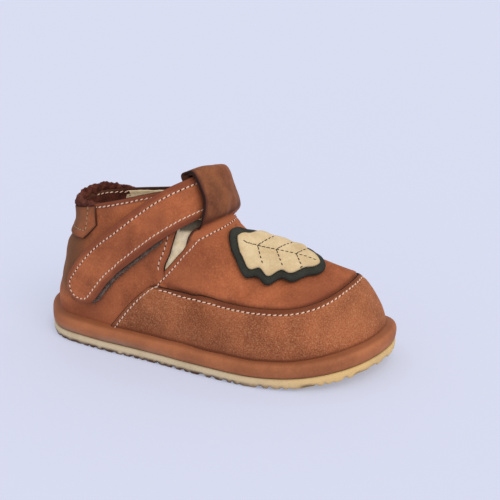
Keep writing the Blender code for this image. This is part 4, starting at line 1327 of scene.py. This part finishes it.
# %% [markdown]
# ## Stitching
# Every seam is sewn with a thick pinkish thread, about eleven stitches to the inch, and each stitch lies a little
# aslant and dives into a dark hole. Modelling them one by one would take all day. One Geometry Nodes tree walks along
# a path and sets down a stitch at every pitch and a hole between each two; the paths are read from the same surface
# as the panels, and each carries the way its leather faces, so that the stitches can slant in the leather's plane.

# %% Stitch tree
# Waxed thread: pale and pinkish, with a dull gleam, so that it stands out on the tan.
thread = leather("waxed_thread", "#F6DFCF", "#DDB49A", "#FFF4EA", 0.5, 0.05, blotch_mm=4.0, speckle=0.3, roughness=0.6)
# Needle holes: a dull brown that is nearly black, the painted shade inside each hole.
hole_shade, tree, shader = blank("needle_hole_shade")
pit = node(tree, "ShaderNodeTexNoise", {"Scale": 1.0 / (0.6 * MM)}).outputs["Fac"]
colour = node(tree, "ShaderNodeMix", {0: pit, MIX_A: linear("#2A130C"), MIX_B: linear("#4A281A")}, data_type="RGBA")
fill(tree, shader, {"Base Color": colour.outputs[MIX_OUT], "Roughness": 0.95})

stitch_tree, given, result = tree_with("stitch_row", [
    ("Pitch", "NodeSocketFloat"), ("Thread", "NodeSocketFloat"), ("Slant", "NodeSocketFloat"),
    ("Stitch material", "NodeSocketMaterial"), ("Hole material", "NodeSocketMaterial")])
path = node(stitch_tree, "GeometryNodeMeshToCurve", {"Mesh": given.outputs["Geometry"]}).outputs["Curve"]
facing = node(stitch_tree, "GeometryNodeInputNamedAttribute", {"Name": "facing"}, data_type="FLOAT_VECTOR")
path = node(stitch_tree, "GeometryNodeSetCurveNormal", {"Curve": path, "Normal": facing.outputs["Attribute"]},
            mode="FREE").outputs["Curve"]
lean = node(stitch_tree, "ShaderNodeCombineXYZ", {"X": given.outputs["Slant"]}).outputs["Vector"]


def along_path(curve, shape, size):
    """Instances of a shape at every pitch of a path, turned along it and aslant."""
    walk = node(stitch_tree, "GeometryNodeCurveToPoints", {
        "Curve": curve, "Length": given.outputs["Pitch"]}, mode="LENGTH")
    turned = node(stitch_tree, "FunctionNodeRotateRotation", {
        "Rotation": walk.outputs["Rotation"], "Rotate By": lean}, rotation_space="LOCAL")
    return node(stitch_tree, "GeometryNodeInstanceOnPoints", {
        "Points": walk.outputs["Points"], "Instance": shape, "Rotation": turned.outputs["Rotation"],
        "Scale": size}).outputs["Instances"]


scaled = {}
for label, source, factor in (
        ("half a pitch", "Pitch", 0.5), ("stitch high", "Thread", 0.85), ("stitch long", "Pitch", 0.41),
        ("hole high", "Thread", 0.8), ("hole wide", "Thread", 1.3)):
    scaled[label] = node(stitch_tree, "ShaderNodeMath", {0: given.outputs[source], 1: factor},
                         operation="MULTIPLY").outputs[0]
shifted = node(stitch_tree, "GeometryNodeTrimCurve", {
    "Curve": path, 4: scaled["half a pitch"], 5: 100.0}, mode="LENGTH").outputs["Curve"]
bead = node(stitch_tree, "GeometryNodeMeshUVSphere", {"Segments": 8, "Rings": 6, "Radius": 1.0}).outputs["Mesh"]
stitch_size, hole_size = (
    node(stitch_tree, "ShaderNodeCombineXYZ", {"X": high, "Y": wide, "Z": long}).outputs["Vector"]
    for high, wide, long in (
        (scaled["stitch high"], given.outputs["Thread"], scaled["stitch long"]),
        (scaled["hole high"], scaled["hole wide"], scaled["hole wide"])))
covered = []
for walked, cover in ((along_path(path, bead, stitch_size), "Stitch material"),
                      (along_path(shifted, bead, hole_size), "Hole material")):
    real = node(stitch_tree, "GeometryNodeRealizeInstances", {"Geometry": walked}).outputs["Geometry"]
    covered.append(node(stitch_tree, "GeometryNodeSetMaterial", {
        "Geometry": real, "Material": given.outputs[cover]}).outputs["Geometry"])
joined = node(stitch_tree, "GeometryNodeJoinGeometry")
for part in covered:
    stitch_tree.links.new(part, joined.inputs["Geometry"])
stitch_tree.links.new(joined.outputs["Geometry"], result.inputs["Geometry"])
print("stitch tree", len(stitch_tree.nodes), "nodes")

# %% Paths on the leather
PITCH, THREAD, SLANT, SINK = 2.25, 0.29, 0.20, -0.03


def even(line, step=0.5):
    """The same line with points at an even step."""
    line = np.asarray(line, float)
    run = run_along(line)
    fine = np.linspace(0.0, run[-1], max(int(run[-1] / step), 2))
    return np.stack([np.interp(fine, run, line[:, n]) for n in range(3)], axis=1)


def laid_on(line, piece):
    """A line dropped on the nearest outer face of a piece, and the way that face looks."""
    points = np.array([vert.co[:] for vert in piece.data.vertices]) / MM
    outer = [poly.vertices[:] for poly in piece.data.polygons if poly.material_index == 0]
    skin = BVHTree.FromPolygons(points.tolist(), outer)
    found = [skin.find_nearest(point)[:2] for point in even(line)]
    facing = np.array([normal[:] for _, normal in found])
    return np.array([near[:] for near, _ in found]) + facing * SINK, facing


def inset_line(panel, side, up, border, step, distance):
    """Line on a panel at a distance from the edge where around has the border's value."""
    rim = panel(side, np.full(len(up), border), up)
    found = []
    for height in up:
        around = border + step * np.linspace(0.0, 0.25, 160)
        row = panel(side, around, np.full(160, height))
        found.append(row[np.argmax(distance_to_line(row, rim) >= distance)])
    return np.array(found)


def sew(name, rows, pitch=PITCH, width=THREAD, cover=thread):
    """One object of stitches along several paths, each of points in millimetres and facings."""
    mesh = bpy.data.meshes.new(name + "_path")
    sizes = [len(points) for points, _ in rows]
    starts = np.cumsum([0] + sizes[:-1])
    edges = [(start + n, start + n + 1) for start, size in zip(starts, sizes) for n in range(size - 1)]
    mesh.from_pydata((np.concatenate([points for points, _ in rows]) * MM).tolist(), edges, [])
    layer = mesh.attributes.new("facing", "FLOAT_VECTOR", "POINT")
    layer.data.foreach_set("vector", np.concatenate([facing for _, facing in rows]).ravel())
    source = placed(name + "_path", mesh)
    made = grown(name, source, stitch_tree, {
        "Pitch": pitch * MM, "Thread": width * MM, "Slant": SLANT, "Stitch material": cover,
        "Hole material": hole_shade})
    bpy.data.objects.remove(source)
    return made


print("a stitch every", PITCH, "mm")

# %% Rows on wall, plug and quarters
apron = np.concatenate([APRON_LINE[OUTER][5:], APRON_LINE[INNER][-2:4:-1]])
seam_up = np.linspace(REAR_ROW[0][0], 2.0, 140)
seam_up = seam_up[seam_up <= 1.40]
rear_rows = {side: front(side, read(REAR_ROW, seam_up), seam_up) for side in BOTH}
on_wall = seam_up < 0.895
vamp_stitches = sew("vamp_stitches", [
    laid_on(apron, wall_piece), *(laid_on(rear_rows[side][on_wall], wall_piece) for side in BOTH)])
# from the slit to the crest: along, across, height
half_throat = np.array([(1.0, 16.5, 53.3), (3.4, 14.6, 54.8), (5.3, 12.0, 55.8), (7.1, 8.1, 56.4), (8.2, 3.1, 56.7),
                        (8.4, 0.0, 56.8)])
throat_knots = np.concatenate([half_throat * (1.0, -1.0, 1.0), half_throat[-2::-1]])
throat_row = smooth(run_along(throat_knots), throat_knots, np.linspace(0.0, run_along(throat_knots)[-1], 90))
plug_stitches = sew("throat_stitches", [
    laid_on(throat_row, loop), *(laid_on(rear_rows[side][~on_wall], plug) for side in BOTH)], 1.9)

front_up = np.linspace(1.10, 1.93, 40)
quarter_rows = [inset_line(quarter_panel, side, front_up, 1.0, -1.0, 2.6) for side in BOTH]
for side in BOTH:
    collar_around = np.linspace(TAB_REACH - TAB_TAPER, 0.97, 120)
    rim_line = quarter(side, collar_around, np.full(120, 2.0))
    below_rim = [quarter(side, np.full(60, share), np.linspace(2.0, 1.8, 60)) for share in collar_around]
    quarter_rows.append(np.array([row[np.argmax(distance_to_line(row, rim_line) >= 1.6)] for row in below_rim]))
quarter_stitches = sew("quarter_stitches", [laid_on(row, quarters) for row in quarter_rows])

# %% Rows on strap, tab, lining and leaf
INSET = 1.9


def strap_line(at, across):
    """Points on the strap as it was laid, at runs along it and distances from its middle."""
    laid = np.array([[np.interp(at, runs, line[:, n]) for n in range(3)] for line in strap_under.transpose(1, 0, 2)])
    share = np.asarray(across, float) / np.interp(at, runs, half)
    return np.array([[np.interp(share[k], rolled, laid[:, n, k]) for n in range(3)] for k in range(len(share))])


reach = STRAP_WIDTH / 2 - INSET
swing = np.linspace(-np.pi / 2, np.pi / 2, 30)
nose = strap_line(FREE_END + INSET + reach * (1.0 - np.cos(swing)), reach * np.sin(swing))
near_runs = np.linspace(FREE_END + INSET + reach, -LOOP_HALF + 1.0, 150)
far_runs = np.linspace(LOOP_HALF, RUN[-1] - INSET, 60)
outline = np.concatenate([
    strap_line(near_runs[::-1], np.full(150, -reach)), nose, strap_line(near_runs, np.full(150, reach))])
inner_end = np.concatenate([
    strap_line(far_runs, np.full(60, -reach)), strap_line(far_runs[::-1], np.full(60, reach))])
strap_stitches = sew("strap_stitches", [laid_on(outline, strap), laid_on(inner_end, strap)], 2.1)

tab_inset = np.concatenate([tab_grid[1:19, 5], tab_grid[19, 6:75], tab_grid[1:19, 75][::-1]])
# The tab's thread: worn to an olive that is quieter than the seams.
olive_thread = leather("worn_olive_thread", "#C9AC86", "#8F7350", "#E2CDAE", 0.5, 0.05, blotch_mm=4.0, roughness=0.6)
tab_stitches = sew("tab_stitches", [laid_on(tab_inset, tab)], 2.1, 0.22, olive_thread)

lining_across = quarter(INNER, np.linspace(0.12, HEEL_LINING - 0.015, 40), np.linspace(1.98, 1.95, 40))
lining_down = quarter(INNER, np.full(30, HEEL_LINING - 0.015), np.linspace(1.95, 1.3, 30))
lining_row = even(np.concatenate([lining_across, lining_down[1:]]))
to_foot = to_ankle(lining_row)
lining_stitches = sew("lining_stitches", [(lining_row + to_foot * (LEATHER + LINING + 0.5), to_foot)], 2.1, 0.24)

# The leaf's thread: black, so that the veins read as drawn lines on the cream.
black_thread = leather("black_thread", "#2B2B28", "#171715", "#45453F", 0.5, 0.05, roughness=0.7)
vein_rows = [leaf_plan(np.linspace(-14.5, 15.5, 30), np.zeros(30))]
for start in (-8.0, 0.0, 8.0):
    for side in (-1.0, 1.0):
        share = np.linspace(0.12, 1.0, 12)
        vein_rows.append(leaf_plan(start + 4.2 * share, side * share * 6.2))
leaf_stitches = sew("leaf_stitches", [laid_on(over_front(row, 4.2), leaf_top) for row in vein_rows], 1.9, 0.24,
                    black_thread)

# %% [markdown]
# ## Riding on the frame
# Every piece rides on the shoe's one body. One piece for each plain solid also names the solid
# that it replaces; the others are parts of the same layer, such as linings and stitches.

# %% Riding
DRESSED = [
    (outsole, ["outsole"], "cream_rubber"), (band, ["platform"], "tan_leather_band"),
    (insole, ["insole"], "cream_leather"), (quarters, ["upper"], "tan_nubuck"), (wall_piece, [], "tan_nubuck"),
    (plug, [], "tan_nubuck"), (heel_lining, [], "dark_lining"), (front_lining, [], "cream_leather"),
    (gussets[0], [], "cream_leather"), (gussets[1], [], "cream_leather"), (strap, ["strap"], "tan_nubuck"),
    (pad, ["fastening_pad"], "grey_hook_and_loop"), (fibres, [], "grey_hook_and_loop"),
    (loop, ["strap_loop"], "brown_leather"), (tab, ["heel_tab"], "tan_nubuck"), (roll, ["collar_roll"], "dark_lining"),
    (leaf_base, ["leaf_base"], "black_leather"), (leaf_top, ["leaf_top"], "cream_leather"),
    (vamp_stitches, [], "cream_leather"), (plug_stitches, [], "cream_leather"),
    (quarter_stitches, [], "cream_leather"), (strap_stitches, [], "cream_leather"),
    (tab_stitches, [], "cream_leather"), (lining_stitches, [], "cream_leather"),
    (leaf_stitches, [], "black_leather"),
]
for piece, stands_for, finish in DRESSED:
    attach(piece, "root")
    if stands_for:
        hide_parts(*stands_for)
print(len(DRESSED), "pieces ride on the shoe")

# %% [markdown]
# ## Floor, light and camera
# The shoe stands on pale lavender paper that glows a little, under soft studio light: one large key above the outer
# side and the toe, and a bright even surround, so the shadow is only a soft stain at the sole. The camera looks down
# a little from the front of the outer side with a long lens.

# %% Stage
floor_mesh = bpy.data.meshes.new("floor")
floor_mesh.from_pydata([(-6, -6, 0), (6, -6, 0), (6, 6, 0), (-6, 6, 0)], [], [(0, 1, 2, 3)])
floor = placed("floor", floor_mesh)
# Backdrop paper: a matt lavender, nearly even.
paper, tree, shader = blank("lavender_paper")
place = node(tree, "ShaderNodeTexCoord").outputs["Object"]
clouding = node(tree, "ShaderNodeTexNoise", {"Vector": place, "Scale": 3.0}).outputs["Fac"]
colour = node(tree, "ShaderNodeMix", {0: clouding, MIX_A: linear("#A2A6B7"), MIX_B: linear("#A4A8B9")},
              data_type="RGBA")
fill(tree, shader, {
    "Base Color": colour.outputs[MIX_OUT], "Roughness": 0.95, "Emission Color": linear("#CDD2E7"),
    "Emission Strength": 0.45})
floor_mesh.materials.append(paper)

surround = bpy.data.worlds.new("studio")
surround.use_nodes = True
sky = surround.node_tree
height = node(sky, "ShaderNodeSeparateXYZ", {0: node(sky, "ShaderNodeTexCoord").outputs["Generated"]}).outputs["Z"]
bright = node(sky, "ShaderNodeMapRange", {
    "Value": height, "From Min": -0.1, "From Max": 0.9, "To Min": 0.50, "To Max": 0.95}).outputs["Result"]
fill(sky, sky.nodes["Background"], {"Color": linear("#FFFFFF"), "Strength": bright})
bpy.context.scene.world = surround
bpy.context.scene.view_settings.view_transform = "Standard"

sun = bpy.data.lights.new("key", "SUN")
sun.energy, sun.angle, sun.color = 1.15, np.radians(45.0), linear("#FFF6EE")[:3]
key = placed("key", sun)
key.rotation_euler = Vector((-0.75, 0.62, -1.0)).to_track_quat("-Z", "Y").to_euler()

lens = bpy.data.cameras.new("camera")
lens.lens, lens.sensor_width = 110.16, 36.0
camera = placed("camera", lens)
EYE, AIM = Vector((0.2558, -0.5375, 0.2833)), Vector((0.0107, 0.0130, 0.0398))
camera.location = EYE
camera.rotation_euler = (AIM - EYE).to_track_quat("-Z", "Y").to_euler()
bpy.context.scene.camera = camera
print("camera", round((AIM - EYE).length, 3), "m from the shoe")
